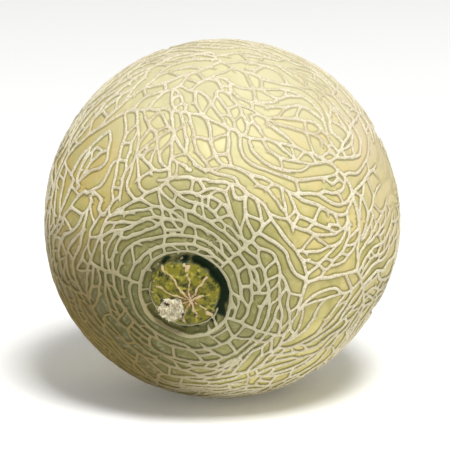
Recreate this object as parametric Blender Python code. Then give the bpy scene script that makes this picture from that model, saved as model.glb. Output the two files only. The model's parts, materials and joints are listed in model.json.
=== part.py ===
# Cantaloupe melon, one whole fruit, lying on the small flat spot of its side.
# Metres, +Z up. The stem end faces -Y and points a little down. The origin is
# under the middle of the fruit, on the surface that it rests on.
#
# The rind is one closed surface. The cells of the net are drawn on a ball and moved
# onto the fruit's own form, and then each cell's floor is sunk, so that the borders
# between them stand up as the raised corky net.

import math
import random

import bmesh
import bpy
from mathutils import Matrix, Vector, noise

# Size and pose of the fruit
EQUATOR_RADIUS = 0.0695
STEM_HALF_LENGTH = 0.0738
BLOSSOM_HALF_LENGTH = 0.0752
STEM_TILT = math.radians(10.4)
FLAT_SPOT_RADIUS = 0.0135

# Slow swellings that keep the form from being a true ball
SWELL_HEIGHT = 0.0012
SWELL_PITCH = 1.3
SWELL_START = Vector((3.1, 7.4, 1.9))

# Raised net, and how much of a cell its floor must keep
NET_HEIGHT = 0.0010
NET_FOOT = 0.00140
NET_FOOT_LEAST = 0.00060
NET_FOOT_STEP = 0.00005
FLOOR_SIDE_SHARE = 0.3
FLOOR_CLEAR_SHARE = 0.4
POINTED_SHARE = 0.3

# Stem end, as distances from the stem's axis
CUSHION_RADIUS = 0.0128
GROOVE_RADIUS = 0.0153
COLLAR_RADIUS = 0.0186
RING_RADII = (0.0246, 0.0314, 0.0398)
CUSHION_CROWN = 0.0008
GROOVE_DEPTH = 0.0024
COLLAR_HEIGHT = 0.0007
COLLAR_REACH = 0.0045
DISH_RADIUS = 0.040
DISH_DEPTH = 0.0009
STAR_PLACE = Vector((0.0021, -0.0016))

# Dry stub left of the stalk, on the cushion
STUB_PLACE = Vector((-0.0050, -0.0056))
STUB_RADIUS = 0.0036
STUB_TOP_SHARE = 0.80
STUB_HEIGHT = 0.0014
STUB_ROOT = 0.0030
STUB_SIDES = 11
STUB_ROUGHNESS = 0.14

# Blossom end, as distances from the same axis
SCAR_RADIUS = 0.0052
SCAR_RING_RADII = (0.0205, 0.0120)
SCAR_DEPTH = 0.0010
SCAR_REACH = 0.0110

# Cells of the net, drawn from rings and spokes that are then cut up
COLUMNS = 32
SPOKE_STRAY = 0.25
BODY_ROWS = (math.radians(60), math.radians(90), math.radians(122))
CELL_AREA = 128e-6
CELL_AREA_SPREAD = 0.25
CUT_OFFSET = 0.14
CUT_TURN = math.radians(22)
SHORTEST_LINE = 0.0026
SNAP_SHARE = 1.5
CLOSE_SHARE = 0.75
NARROWEST_CELL = 0.0042
STRIP_PATCHES = 8
STRIP_HEIGHTS = (-0.75, 0.72)
STRIP_REACH = 0.27
STRIP_STRETCH = 2.8
STRIP_TURN = math.radians(6)
SMOOTH_PASSES = 1
SMOOTH_SHARE = 0.25
WANDER = ((2.3, 0.090), (6.5, 0.015))
WANDER_STARTS = (Vector((5.2, 1.3, 8.7)), Vector((9.6, 4.1, 2.8)), Vector((0.7, 6.9, 3.5)))
FREEDOM_AT_STEM = 0.08
SEED = 8

LYING = Matrix.Rotation(math.pi / 2.0 + STEM_TILT, 4, "X")
SHARP_ANGLE = math.radians(30)

RIND_COLOUR = (0.56, 0.50, 0.27, 1.0)
RIND_ROUGHNESS = 0.72


def bump(t):
    # One at the middle, falling smoothly to nothing at one on either side.
    return (1.0 - t * t) ** 2 if abs(t) < 1.0 else 0.0


def fade(value, low, high):
    # Smooth rise from nothing at low to one at high.
    t = min(1.0, max(0.0, (value - low) / (high - low)))
    return t * t * (3.0 - 2.0 * t)


def axis_distance(direction):
    return EQUATOR_RADIUS * math.hypot(direction.x, direction.y)


def half_length(direction):
    return STEM_HALF_LENGTH if direction.z > 0.0 else BLOSSOM_HALF_LENGTH


def stem_relief(distance):
    relief = CUSHION_CROWN * bump(distance / CUSHION_RADIUS)
    relief -= GROOVE_DEPTH * bump((distance - GROOVE_RADIUS) / GROOVE_HALF_WIDTH)
    relief += COLLAR_HEIGHT * bump((distance - COLLAR_RADIUS) / COLLAR_REACH)
    return relief - DISH_DEPTH * bump(distance / DISH_RADIUS)


def blossom_relief(distance):
    return -SCAR_DEPTH * bump(distance / SCAR_REACH)


def fruit_point(direction, height=0.0):
    # The skin's point in a direction from the middle, in the fruit's own frame:
    # the stem's axis is +Z, and +Y is the side that lies uppermost.
    length = half_length(direction)
    point = Vector((direction.x * EQUATOR_RADIUS, direction.y * EQUATOR_RADIUS,
                    direction.z * length))
    outward = Vector((direction.x / EQUATOR_RADIUS, direction.y / EQUATOR_RADIUS,
                      direction.z / length)).normalized()
    relief = SWELL_HEIGHT * noise.noise(direction * SWELL_PITCH + SWELL_START)
    distance = axis_distance(direction)
    relief += stem_relief(distance) if direction.z > 0.0 else blossom_relief(distance)
    return point + outward * (relief + height)


def fruit_direction(point):
    return Vector((point.x / EQUATOR_RADIUS, point.y / EQUATOR_RADIUS,
                   point.z / half_length(point))).normalized()


def polar_angle(distance):
    return math.asin(distance / EQUATOR_RADIUS)


def fall_on_ball(place):
    # Direction of a point of the stem end, given by its place beside the stem's axis.
    x = place.x / EQUATOR_RADIUS
    y = place.y / EQUATOR_RADIUS
    return Vector((x, y, math.sqrt(1.0 - x * x - y * y)))


def ring_angles():
    # Polar angle of every ring of the first drawing, from the stem to the blossom end.
    stem = [polar_angle(r) for r in (CUSHION_RADIUS, GROOVE_RADIUS, COLLAR_RADIUS) + RING_RADII]
    blossom = [math.pi - polar_angle(r) for r in SCAR_RING_RADII + (SCAR_RADIUS,)]
    return [0.0] + stem + list(BODY_ROWS) + blossom + [math.pi]


# How the ball is first divided: what lies past the collar's edge is free to be cut up.
RING_MARGIN = 0.01
FREE_HEIGHT = math.cos(polar_angle(COLLAR_RADIUS) + RING_MARGIN)
SCAR_HEIGHT = -math.cos(polar_angle(SCAR_RADIUS))
GROOVE_HALF_WIDTH = (COLLAR_RADIUS - CUSHION_RADIUS) / 2.0

# Which of the 32 spokes between two rings stay: every so many, counted from a first one.
# The cushion has 8 rays, the groove's walls have all of them, the rings round the stem
# are laid like bricks, and the wide bands of the body start as 8 large fields.
SPOKES = ((4, 0), (1, 0), (1, 0), (2, 0), (2, 1), (2, 0), (4, 1), (4, 3), (4, 1), (4, 3),
          (4, 1), (4, 3), (8, 0))


def draw_rings(bm, draw):
    angles = ring_angles()
    last = len(angles) - 1
    bmesh.ops.create_uvsphere(bm, u_segments=COLUMNS, v_segments=last, radius=1.0)
    row_of = {}
    column_of = {}
    for vert in bm.verts:
        row_of[vert] = round(vert.co.angle(Vector((0, 0, 1))) / math.pi * last)
        turn = math.atan2(vert.co.y, vert.co.x) / (2.0 * math.pi)
        column_of[vert] = round(turn * COLUMNS) % COLUMNS
    gone = []
    for edge in bm.edges:
        a, b = edge.verts
        if row_of[a] != row_of[b]:
            band = min(row_of[a], row_of[b])
            column = column_of[a] if 0 < row_of[a] < last else column_of[b]
            step, first = SPOKES[band]
            if column % step != first:
                gone.append(edge)
    step_angle = 2.0 * math.pi / COLUMNS
    for vert in bm.verts:
        polar = angles[row_of[vert]]
        turn = column_of[vert] * step_angle
        if polar_angle(COLLAR_RADIUS) < polar < angles[-2] - RING_MARGIN:
            turn += draw.uniform(-SPOKE_STRAY, SPOKE_STRAY) * step_angle
        vert.co = (math.sin(polar) * math.cos(turn), math.sin(polar) * math.sin(turn),
                   math.cos(polar))
    bmesh.ops.dissolve_edges(bm, edges=gone, use_verts=True)


class StripPatch:
    # A patch of the rind where the net runs in narrow parallel strips.
    def __init__(self, draw):
        height = draw.uniform(*STRIP_HEIGHTS)
        turn = draw.uniform(0.0, 2.0 * math.pi)
        around = math.sqrt(1.0 - height * height)
        self.middle = Vector((around * math.cos(turn), around * math.sin(turn), height))
        across = Vector([draw.gauss(0.0, 1.0) for _ in range(3)]).cross(self.middle)
        self.along = across.normalized()

    def holds(self, direction):
        return direction.angle(self.middle) < STRIP_REACH


def flat_outline(face, patch):
    # The face's corners in a plane at its middle, in metres. In a strip patch the
    # plane is squeezed along the strips, so that the cells come out long.
    middle = sum((v.co for v in face.verts), Vector()).normalized()
    along = patch.along if patch else middle.orthogonal()
    across = middle.cross(along).normalized()
    along = across.cross(middle).normalized()
    stretch = STRIP_STRETCH if patch else 1.0
    points = [Vector((v.co.dot(along) / stretch, v.co.dot(across))) * EQUATOR_RADIUS
              for v in face.verts]
    return points, stretch


def outline_area(points):
    total = 0.0
    for a, b in zip(points, points[1:] + points[:1]):
        total += a.x * b.y - a.y * b.x
    return abs(total) / 2.0


def long_axis(points):
    # Middle of an outline, the direction in which it is longest, and its length there.
    samples = []
    for a, b in zip(points, points[1:] + points[:1]):
        samples += [a.lerp(b, k / 6.0) for k in range(6)]
    middle = sum(samples, Vector((0.0, 0.0))) / len(samples)
    xx = sum((p.x - middle.x) ** 2 for p in samples)
    yy = sum((p.y - middle.y) ** 2 for p in samples)
    xy = sum((p.x - middle.x) * (p.y - middle.y) for p in samples)
    turn = 0.5 * math.atan2(2.0 * xy, xx - yy)
    axis = Vector((math.cos(turn), math.sin(turn)))
    reach = [(p - middle).dot(axis) for p in samples]
    return middle, axis, max(reach) - min(reach)


def line_length(edge):
    a, b = edge.verts
    return (a.co - b.co).length * EQUATOR_RADIUS


def place_on_line(loop, share):
    # The vertex where a new line meets an old one: never close to another junction.
    edge = loop.edge
    length = line_length(edge)
    if length < SNAP_SHARE * SHORTEST_LINE:
        return loop.vert if share < 0.5 else loop.link_loop_next.vert
    least = min(0.5, SHORTEST_LINE / length)
    share = min(1.0 - least, max(least, share))
    vert = bmesh.utils.edge_split(edge, loop.vert, share)[1]
    vert.co.normalize()
    return vert


def cut_cell(face, points, patch, draw):
    # Cuts a face in two across its length, and gives the new face, or nothing.
    middle, axis, length = long_axis(points)
    start = middle + axis * length * draw.uniform(-CUT_OFFSET, CUT_OFFSET)
    limit = STRIP_TURN if patch else CUT_TURN
    turn = draw.uniform(-limit, limit)
    normal = Matrix.Rotation(turn, 2) @ axis
    sides = [(p - start).dot(normal) for p in points]
    loops = list(face.loops)
    hits = []
    for k, loop in enumerate(loops):
        here = sides[k]
        there = sides[(k + 1) % len(sides)]
        if (here < 0.0) != (there < 0.0):
            share = here / (here - there)
            at = points[k].lerp(points[(k + 1) % len(points)], share)
            across = (at - start).dot(Vector((-normal.y, normal.x)))
            hits.append((across, loop, share))
    left = [h for h in hits if h[0] < 0.0]
    right = [h for h in hits if h[0] >= 0.0]
    if not left or not right:
        return None
    first = max(left, key=lambda h: h[0])
    second = min(right, key=lambda h: h[0])
    ends = [place_on_line(loop, share) for _, loop, share in (first, second)]
    if ends[0] is ends[1] or any(ends[1] in e.verts for e in ends[0].link_edges):
        return None
    return bmesh.utils.face_split(face, ends[0], ends[1])[0]


def place_key(face):
    # Sorts faces by their place, so that the drawing never depends on their order.
    middle = face.calc_center_median()
    return round(middle.z, 5), round(middle.x, 5), round(middle.y, 5)


def draw_cells(bm, draw):
    # Cuts the large fields again and again, until every cell has its size.
    patches = [StripPatch(draw) for _ in range(STRIP_PATCHES)]
    waiting = [f for f in sorted(bm.faces, key=place_key)
               if SCAR_HEIGHT < f.calc_center_median().normalized().z < FREE_HEIGHT]
    while waiting:
        face = waiting.pop(0)
        middle = face.calc_center_median().normalized()
        patch = next((p for p in patches if p.holds(middle)), None)
        points, stretch = flat_outline(face, patch)
        limit = CELL_AREA * draw.uniform(1.0 - CELL_AREA_SPREAD, 1.0 + CELL_AREA_SPREAD)
        if outline_area(points) * stretch > limit:
            new = cut_cell(face, points, patch, draw)
            if new:
                waiting += sorted((face, new), key=place_key)


def freedom(direction):
    # How far a point of the net may stray: hardly at all on the collar and the scar.
    distance = axis_distance(direction)
    if direction.z < 0.0:
        return fade(distance, SCAR_RADIUS, SCAR_RING_RADII[0])
    return max(FREEDOM_AT_STEM, fade(distance, COLLAR_RADIUS, RING_RADII[2]))


def relax(bm):
    # Draws each junction towards its neighbours, so that lines meet at easy angles.
    for _ in range(SMOOTH_PASSES):
        moved = {}
        for vert in bm.verts:
            near = [e.other_vert(vert).co for e in vert.link_edges]
            middle = sum(near, Vector()) / len(near)
            share = SMOOTH_SHARE * freedom(vert.co)
            moved[vert] = vert.co.lerp(middle, share).normalized()
        for vert, place in moved.items():
            vert.co = place


def wander(bm):
    # Sends the lines on a winding course.
    for vert in bm.verts:
        stray = Vector()
        for pitch, reach in WANDER:
            for k, start in enumerate(WANDER_STARTS):
                stray[k] += noise.noise(vert.co * pitch + start) * reach
        vert.co = (vert.co + stray * freedom(vert.co)).normalized()


def cell_width(face):
    return 4.0 * face.calc_area() / face.calc_perimeter() * EQUATOR_RADIUS


def is_free(vert):
    return vert.co.z < FREE_HEIGHT


def join_slivers(bm):
    # Junctions that came too close become one, and a cell too narrow to have a floor
    # is opened into the neighbour that it shares its longest line with.
    close = [e for e in bm.edges if line_length(e) < SHORTEST_LINE * CLOSE_SHARE
             and all(is_free(v) for v in e.verts)]
    bmesh.ops.collapse(bm, edges=close)
    while True:
        free = [f for f in bm.faces if all(is_free(v) for v in f.verts)]
        narrowest = min(free, key=cell_width)
        if cell_width(narrowest) > NARROWEST_CELL:
            break
        longest = max(narrowest.edges, key=line_length)
        bmesh.ops.dissolve_edges(bm, edges=[longest], use_verts=True)
    bends = [v for v in bm.verts if len(v.link_edges) == 2]
    bmesh.ops.dissolve_verts(bm, verts=bends)


def is_groove_wall(face):
    # Its corners all lie between the cushion's edge and the collar's crest.
    if face.normal.z < 0.0:
        return False
    middle = (CUSHION_RADIUS + COLLAR_RADIUS) / 2.0
    reach = COLLAR_RADIUS - CUSHION_RADIUS
    return all(abs(math.hypot(v.co.x, v.co.y) - middle) < reach for v in face.verts)


def crest_height(direction):
    # The net's crest over the skin. There is none on the groove's floor.
    if direction.z < 0.0:
        return NET_HEIGHT
    distance = axis_distance(direction)
    return NET_HEIGHT * (1.0 - bump((distance - GROOVE_RADIUS) / GROOVE_HALF_WIDTH))


def floor_corners(face):
    # Corners of the cell's floor: as far in from its lines as the net's foot is wide,
    # or less in a small cell, and towards the middle of a cell too pointed for that.
    corners = [v.co.copy() for v in face.verts]
    runs = [b - a for a, b in zip(corners, corners[1:] + corners[:1])]
    inward = [face.normal.cross(run).normalized() for run in runs]
    ways = [(inward[k - 1] + inward[k]).normalized() for k in range(len(runs))]
    width = NET_FOOT
    while width > NET_FOOT_LEAST:
        inner = [corner + way * width for corner, way in zip(corners, ways)]
        inner_runs = [b - a for a, b in zip(inner, inner[1:] + inner[:1])]
        long_enough = all(new.dot(old) > FLOOR_SIDE_SHARE * old.length_squared
                          for new, old in zip(inner_runs, runs))
        clear = all((place - corner).dot(way) > FLOOR_CLEAR_SHARE * width
                    for place in inner for corner, way in zip(corners, inward))
        if long_enough and clear:
            return inner
        width -= NET_FOOT_STEP
    middle = face.calc_center_median()
    return [corner.lerp(middle, POINTED_SHARE) for corner in corners]


def sink_floors(bm, cells):
    for face in cells:
        places = floor_corners(face)
        bmesh.ops.inset_individual(bm, faces=[face], thickness=NET_FOOT_STEP)
        for vert, place in zip(face.verts, places):
            vert.co = fruit_point(fruit_direction(place))


def lay_down(bm):
    # Turns the fruit onto its side and presses the small flat spot into its underside.
    bm.transform(LYING)
    lowest = min(v.co.z for v in bm.verts)
    spot = lowest + NET_HEIGHT + FLAT_SPOT_RADIUS ** 2 / (2.0 * EQUATOR_RADIUS)
    xs = [v.co.x for v in bm.verts]
    ys = [v.co.y for v in bm.verts]
    shift = Vector(((min(xs) + max(xs)) / 2.0, (min(ys) + max(ys)) / 2.0, spot))
    for vert in bm.verts:
        vert.co -= shift
        vert.co.z = max(0.0, vert.co.z)
    return shift


def make_melon(collection):
    draw = random.Random(SEED)
    bm = bmesh.new()
    draw_rings(bm, draw)
    draw_cells(bm, draw)
    relax(bm)
    wander(bm)
    join_slivers(bm)
    star = max(bm.verts, key=lambda v: v.co.z)
    star.co = fall_on_ball(STAR_PLACE)
    for vert in bm.verts:
        vert.co = fruit_point(vert.co, crest_height(vert.co))
    bm.normal_update()
    sink_floors(bm, [face for face in bm.faces if not is_groove_wall(face)])
    shift = lay_down(bm)
    mesh = bpy.data.meshes.new("melon")
    bm.to_mesh(mesh)
    bm.free()
    mesh.shade_smooth()
    mesh.set_sharp_from_angle(angle=SHARP_ANGLE)
    melon = bpy.data.objects.new("melon", mesh)
    collection.objects.link(melon)
    return melon, shift


def add_stub(melon, shift, cutters):
    # The dry stub is joined to the cushion that it stands on.
    draw = random.Random(SEED)
    height = STUB_HEIGHT + STUB_ROOT
    bpy.ops.mesh.primitive_cone_add(vertices=STUB_SIDES, radius1=STUB_RADIUS,
                                    radius2=STUB_RADIUS * STUB_TOP_SHARE, depth=height)
    stub = bpy.context.active_object
    stub.name = "stub"
    for vert in stub.data.vertices:
        rough = draw.uniform(1.0 - STUB_ROUGHNESS, 1.0 + STUB_ROUGHNESS)
        vert.co.x *= rough
        vert.co.y *= rough
    foot = fruit_point(fall_on_ball(STUB_PLACE))
    foot.z += height / 2.0 - STUB_ROOT
    stub.matrix_world = Matrix.Translation(-shift) @ LYING @ Matrix.Translation(foot)
    for other in stub.users_collection:
        other.objects.unlink(stub)
    cutters.objects.link(stub)
    stub.hide_render = True
    stub.display_type = "WIRE"
    join = melon.modifiers.new("join stub", "BOOLEAN")
    join.operation = "UNION"
    join.object = stub


def rind_material():
    material = bpy.data.materials.new("rind")
    material.use_nodes = True
    shader = material.node_tree.nodes["Principled BSDF"]
    shader.inputs["Base Color"].default_value = RIND_COLOUR
    shader.inputs["Roughness"].default_value = RIND_ROUGHNESS
    shader.inputs["Metallic"].default_value = 0.0
    return material


def new_collection(name):
    collection = bpy.data.collections.new(name)
    bpy.context.scene.collection.children.link(collection)
    return collection


def main():
    for old in list(bpy.data.objects):
        bpy.data.objects.remove(old, do_unlink=True)
    melon, shift = make_melon(new_collection("cantaloupe melon"))
    melon.data.materials.append(rind_material())
    add_stub(melon, shift, new_collection("cutters"))


main()
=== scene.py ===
import json
import math
import random

import bpy
import numpy as np
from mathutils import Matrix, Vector, geometry, noise
from mathutils.kdtree import KDTree

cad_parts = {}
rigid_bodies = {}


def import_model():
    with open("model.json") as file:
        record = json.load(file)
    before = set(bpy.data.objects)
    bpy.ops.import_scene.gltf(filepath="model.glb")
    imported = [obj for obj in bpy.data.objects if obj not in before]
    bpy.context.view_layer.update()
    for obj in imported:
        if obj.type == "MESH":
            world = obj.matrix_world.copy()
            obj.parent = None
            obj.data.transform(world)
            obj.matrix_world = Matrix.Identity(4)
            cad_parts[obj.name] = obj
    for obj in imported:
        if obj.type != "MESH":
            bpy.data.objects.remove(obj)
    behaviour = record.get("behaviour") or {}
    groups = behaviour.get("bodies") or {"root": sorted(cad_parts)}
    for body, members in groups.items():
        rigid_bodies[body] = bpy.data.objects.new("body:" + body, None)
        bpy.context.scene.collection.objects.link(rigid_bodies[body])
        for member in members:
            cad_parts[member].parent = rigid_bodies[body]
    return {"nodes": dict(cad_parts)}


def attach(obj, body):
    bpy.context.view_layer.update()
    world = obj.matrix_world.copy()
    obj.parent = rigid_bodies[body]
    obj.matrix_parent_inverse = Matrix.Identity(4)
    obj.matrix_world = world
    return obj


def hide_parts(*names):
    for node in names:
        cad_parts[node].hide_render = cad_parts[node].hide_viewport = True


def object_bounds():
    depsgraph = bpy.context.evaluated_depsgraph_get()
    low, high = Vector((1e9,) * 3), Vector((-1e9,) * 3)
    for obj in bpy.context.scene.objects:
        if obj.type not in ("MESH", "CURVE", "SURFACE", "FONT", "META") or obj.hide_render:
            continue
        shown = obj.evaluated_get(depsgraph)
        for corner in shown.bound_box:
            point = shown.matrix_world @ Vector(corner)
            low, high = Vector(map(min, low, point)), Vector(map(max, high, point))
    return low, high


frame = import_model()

cadLow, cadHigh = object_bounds()
melonNode = frame["nodes"]["melon"]
print("frame loaded:", len(melonNode.data.polygons), "triangles in the melon's solid")

# Form of the fruit, in metres, as in the part's solid. Its own axes: +Z out of the stem
# end, +Y to the side that lies uppermost.
fruit = {
    "equatorRadius": 0.0695,
    "stemHalf": 0.0738,
    "blossomHalf": 0.0752,
    "stemTilt": 10.4,
    "place": (0.0003662, 0.0009438, -0.0681023),
    "swellHeight": 0.0012,
    "swellPitch": 1.3,
    "swellStart": (3.1, 7.4, 1.9),
    "cushionRadius": 0.0128,
    "grooveRadius": 0.0153,
    "collarRadius": 0.0186,
    "cushionCrown": 0.0008,
    "grooveDepth": 0.0024,
    "collarHeight": 0.0007,
    "collarReach": 0.0045,
    "dishRadius": 0.040,
    "dishDepth": 0.0009,
    "scarRadius": 0.0052,
    "scarDepth": 0.0010,
    "scarReach": 0.0110,
}
equator = fruit["equatorRadius"]
tilt = math.pi / 2.0 + math.radians(fruit["stemTilt"])
lying = np.array(((1.0, 0.0, 0.0),
                  (0.0, math.cos(tilt), -math.sin(tilt)),
                  (0.0, math.sin(tilt), math.cos(tilt))))
place = np.array(fruit["place"])
heartSpot = (0.0, 0.0, equator)

# Where the photo was taken from: degrees to the fruit's right, and above the floor
look = {"azimuth": 11.4, "elevation": 13.0}


def bump(t):
    return np.where(np.abs(t) < 1.0, (1.0 - t * t) ** 2, 0.0)


def fade(value, low, high):
    t = np.clip((value - low) / (high - low), 0.0, 1.0)
    return t * t * (3.0 - 2.0 * t)


def unit(rows):
    return rows / np.linalg.norm(rows, axis=-1, keepdims=True)


def drift(spots, pitch, start):
    # smooth random value at each spot, the same in every run
    begin = Vector(start)
    return np.array([noise.noise(Vector(s) * pitch + begin) for s in spots])


def halfLength(ways):
    return np.where(ways[:, 2] > 0.0, fruit["stemHalf"], fruit["blossomHalf"])


def endRelief(ways):
    # cushion, groove, collar and dish at the stem, shallow dip at the blossom end
    away = equator * np.hypot(ways[:, 0], ways[:, 1])
    grooveHalf = (fruit["collarRadius"] - fruit["cushionRadius"]) / 2.0
    stem = fruit["cushionCrown"] * bump(away / fruit["cushionRadius"])
    stem -= fruit["grooveDepth"] * bump((away - fruit["grooveRadius"]) / grooveHalf)
    stem += fruit["collarHeight"] * bump((away - fruit["collarRadius"]) / fruit["collarReach"])
    stem -= fruit["dishDepth"] * bump(away / fruit["dishRadius"])
    scar = -fruit["scarDepth"] * bump(away / fruit["scarReach"])
    return np.where(ways[:, 2] > 0.0, stem, scar)


def skinPoints(ways, height=0.0):
    # points of the skin in the frame's axes, for unit ways out of the fruit's middle
    scale = np.stack([np.full(len(ways), equator), np.full(len(ways), equator),
                      halfLength(ways)], axis=1)
    outward = unit(ways / scale)
    relief = fruit["swellHeight"] * drift(ways, fruit["swellPitch"], fruit["swellStart"])
    relief = relief + endRelief(ways) + height
    local = ways * scale + outward * relief[:, None]
    return local @ lying.T - place, outward @ lying.T


def seenWay(x, y):
    # way out of the middle to a spot of the outline's disc as the photo shows it,
    # x to the right and y up, both as shares of the radius
    a, e = math.radians(look["azimuth"]), math.radians(look["elevation"])
    right = np.array((math.cos(a), math.sin(a), 0.0))
    up = np.array((-math.sin(e) * math.sin(a), math.sin(e) * math.cos(a), math.cos(e)))
    near = np.array((math.cos(e) * math.sin(a), -math.cos(e) * math.cos(a), math.sin(e)))
    z = math.sqrt(max(0.0, 1.0 - x * x - y * y))
    return (x * right + y * up + z * near) @ lying


# Net: long lines that follow a flow over the rind, and rungs between them
net = {
    "collarRing": 0.0176,       # ring of cork round the stem end
    "rows": (37.0, 63.0, 92.0, 121.0, 150.0),   # rings of the first wide fields, in degrees
    "ringStray": (0.0, 6.0, 12.0, 22.0, 20.0, 10.0, 0.0),
    "spokes": (3, 4, 5, 5, 4, 3),               # lines between one ring and the next
    "ringPoints": 36,
    "firstStrength": 0.95,
    "longStrength": (0.72, 0.28),       # least, and what chance adds
    "rungStrength": (0.42, 0.45),
    "deadStrength": -0.7,       # at a dead end, so that the line is gone halfway
    "spokeStray": 0.45,
    "stripWidth": 0.0051,       # between two long lines
    "stripVary": 0.25,
    "leastSplit": 1.75,         # a strip is cut lengthwise when it is this many times too wide
    "cellLength": 0.0075,       # between two rungs
    "cellVary": 0.42,
    "leastRung": 1.5,
    "patchVary": 0.22,
    "mergeGap": 0.0023,         # a line that comes this close to another runs into it
    "stemNarrow": 0.80,         # strips and cells near the stem, as a share of the others
    "narrowReach": (0.028, 0.046),
    "flowStep": 0.0030,
    "longestWalk": 70,
    "shortest": 0.0019,         # stretch between two junctions
    "leastArea": 7.0e-6,        # smaller or narrower cells join a neighbour
    "leastRoom": 0.0023,
    "fairArea": 4.0e-5,
    "rounds": 6,
    "rungTurn": 32.0,
    "offset": 0.16,
    "deadEnds": 0.30,           # share of the rungs that fade out halfway
    # lines circle an end inside the first distance and not past the second, with this pull
    "roundStem": (0.026, 0.044, 6.0),
    "roundScar": (0.012, 0.030, 3.0),
    "spiral": 0.35,
    "swing": 1.5,               # how far the long lines swing aside, free past these distances
    "swingReach": (0.022, 0.040),
    "seed": 11,
}

# Which way the lines run: a spot of the disc that the photo shows, and a direction there
seenFlow = [
    ((0.36, 0.53), (0.85, -0.50), 0.26), ((0.50, 0.28), (0.85, 0.50), 0.20),
    ((0.06, 0.46), (-0.25, 1.0), 0.24), ((-0.42, 0.38), (0.50, -0.85), 0.24),
    ((-0.06, 0.12), (0.87, -0.50), 0.24), ((-0.70, 0.06), (0.55, 0.80), 0.28),
    ((0.62, -0.28), (0.87, 0.50), 0.26), ((0.30, -0.66), (0.77, 0.64), 0.24),
    ((0.56, -0.55), (0.60, 0.80), 0.22), ((0.02, -0.88), (1.0, 0.12), 0.24),
    ((0.85, 0.10), (0.30, 0.95), 0.30), ((-0.35, 0.80), (0.90, 0.45), 0.30),
    ((0.30, 0.84), (0.95, -0.20), 0.30), ((-0.62, -0.60), (0.70, -0.72), 0.24),
    ((0.22, 0.10), (0.60, -0.80), 0.20),
]
# The same for the hidden sides: a way out of the middle, a direction and a reach
hiddenFlow = [
    ((-0.75, 0.25, -0.62), (0.3, 1.0, 0.1), 0.45), ((0.42, 0.72, -0.55), (1.0, -0.2, 0.6), 0.42),
    ((0.55, -0.60, -0.58), (0.5, 1.0, -0.4), 0.42), ((-0.35, -0.70, -0.62), (1.0, 0.3, -0.2), 0.40),
    ((0.95, 0.10, -0.25), (0.1, 0.4, 1.0), 0.40), ((-0.20, 0.88, -0.35), (1.0, 0.2, 0.9), 0.36),
    ((-0.95, -0.25, -0.15), (0.2, 0.9, -0.6), 0.36), ((0.10, -0.95, 0.05), (1.0, 0.0, 0.7), 0.40),
]


def flowList():
    found = []
    step = 0.03                 # share of the disc's radius
    for (x, y), (alongX, alongY), reach in seenFlow:
        way = seenWay(x, y)
        ahead = seenWay(x + step * alongX, y + step * alongY)
        found.append((Vector(way), Vector(unit(ahead - way)), reach))
    for way, along, reach in hiddenFlow:
        found.append((Vector(way).normalized(), Vector(along).normalized(), reach))
    return [(way, way.cross(along).normalized(), reach) for way, along, reach in found]


flows = flowList()


def flowAt(way):
    # direction of the long lines: circles round the stem near it, then the nearest flows
    circle = Vector((-way.y, way.x, 0.0))
    out = way.cross(circle) * -1.0
    away = equator * math.hypot(way.x, way.y)
    spiral = net["spiral"] * noise.noise(way * 3.0 + Vector((2.0, 6.0, 1.0)))
    flow = (circle + out * spiral).normalized()
    near, far, pull = net["roundStem" if way.z > 0.0 else "roundScar"]
    flow *= pull * (1.0 - float(fade(np.array(away), near, far))) + 0.02
    for spot, axis, reach in flows:
        weight = math.exp(-(way.angle(spot) / reach) ** 2)
        if weight > 0.002:
            part = axis.cross(way) * weight
            flow = flow + part if part.dot(flow) >= 0.0 else flow - part
    flow = (flow - way * flow.dot(way)).normalized()
    free = float(fade(np.array(away), *net["swingReach"]))
    swing = free * net["swing"] * noise.noise(way * 5.2 + Vector((4.0, 0.5, 9.0)))
    return (flow * math.cos(swing) + way.cross(flow) * math.sin(swing)).normalized()


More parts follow.
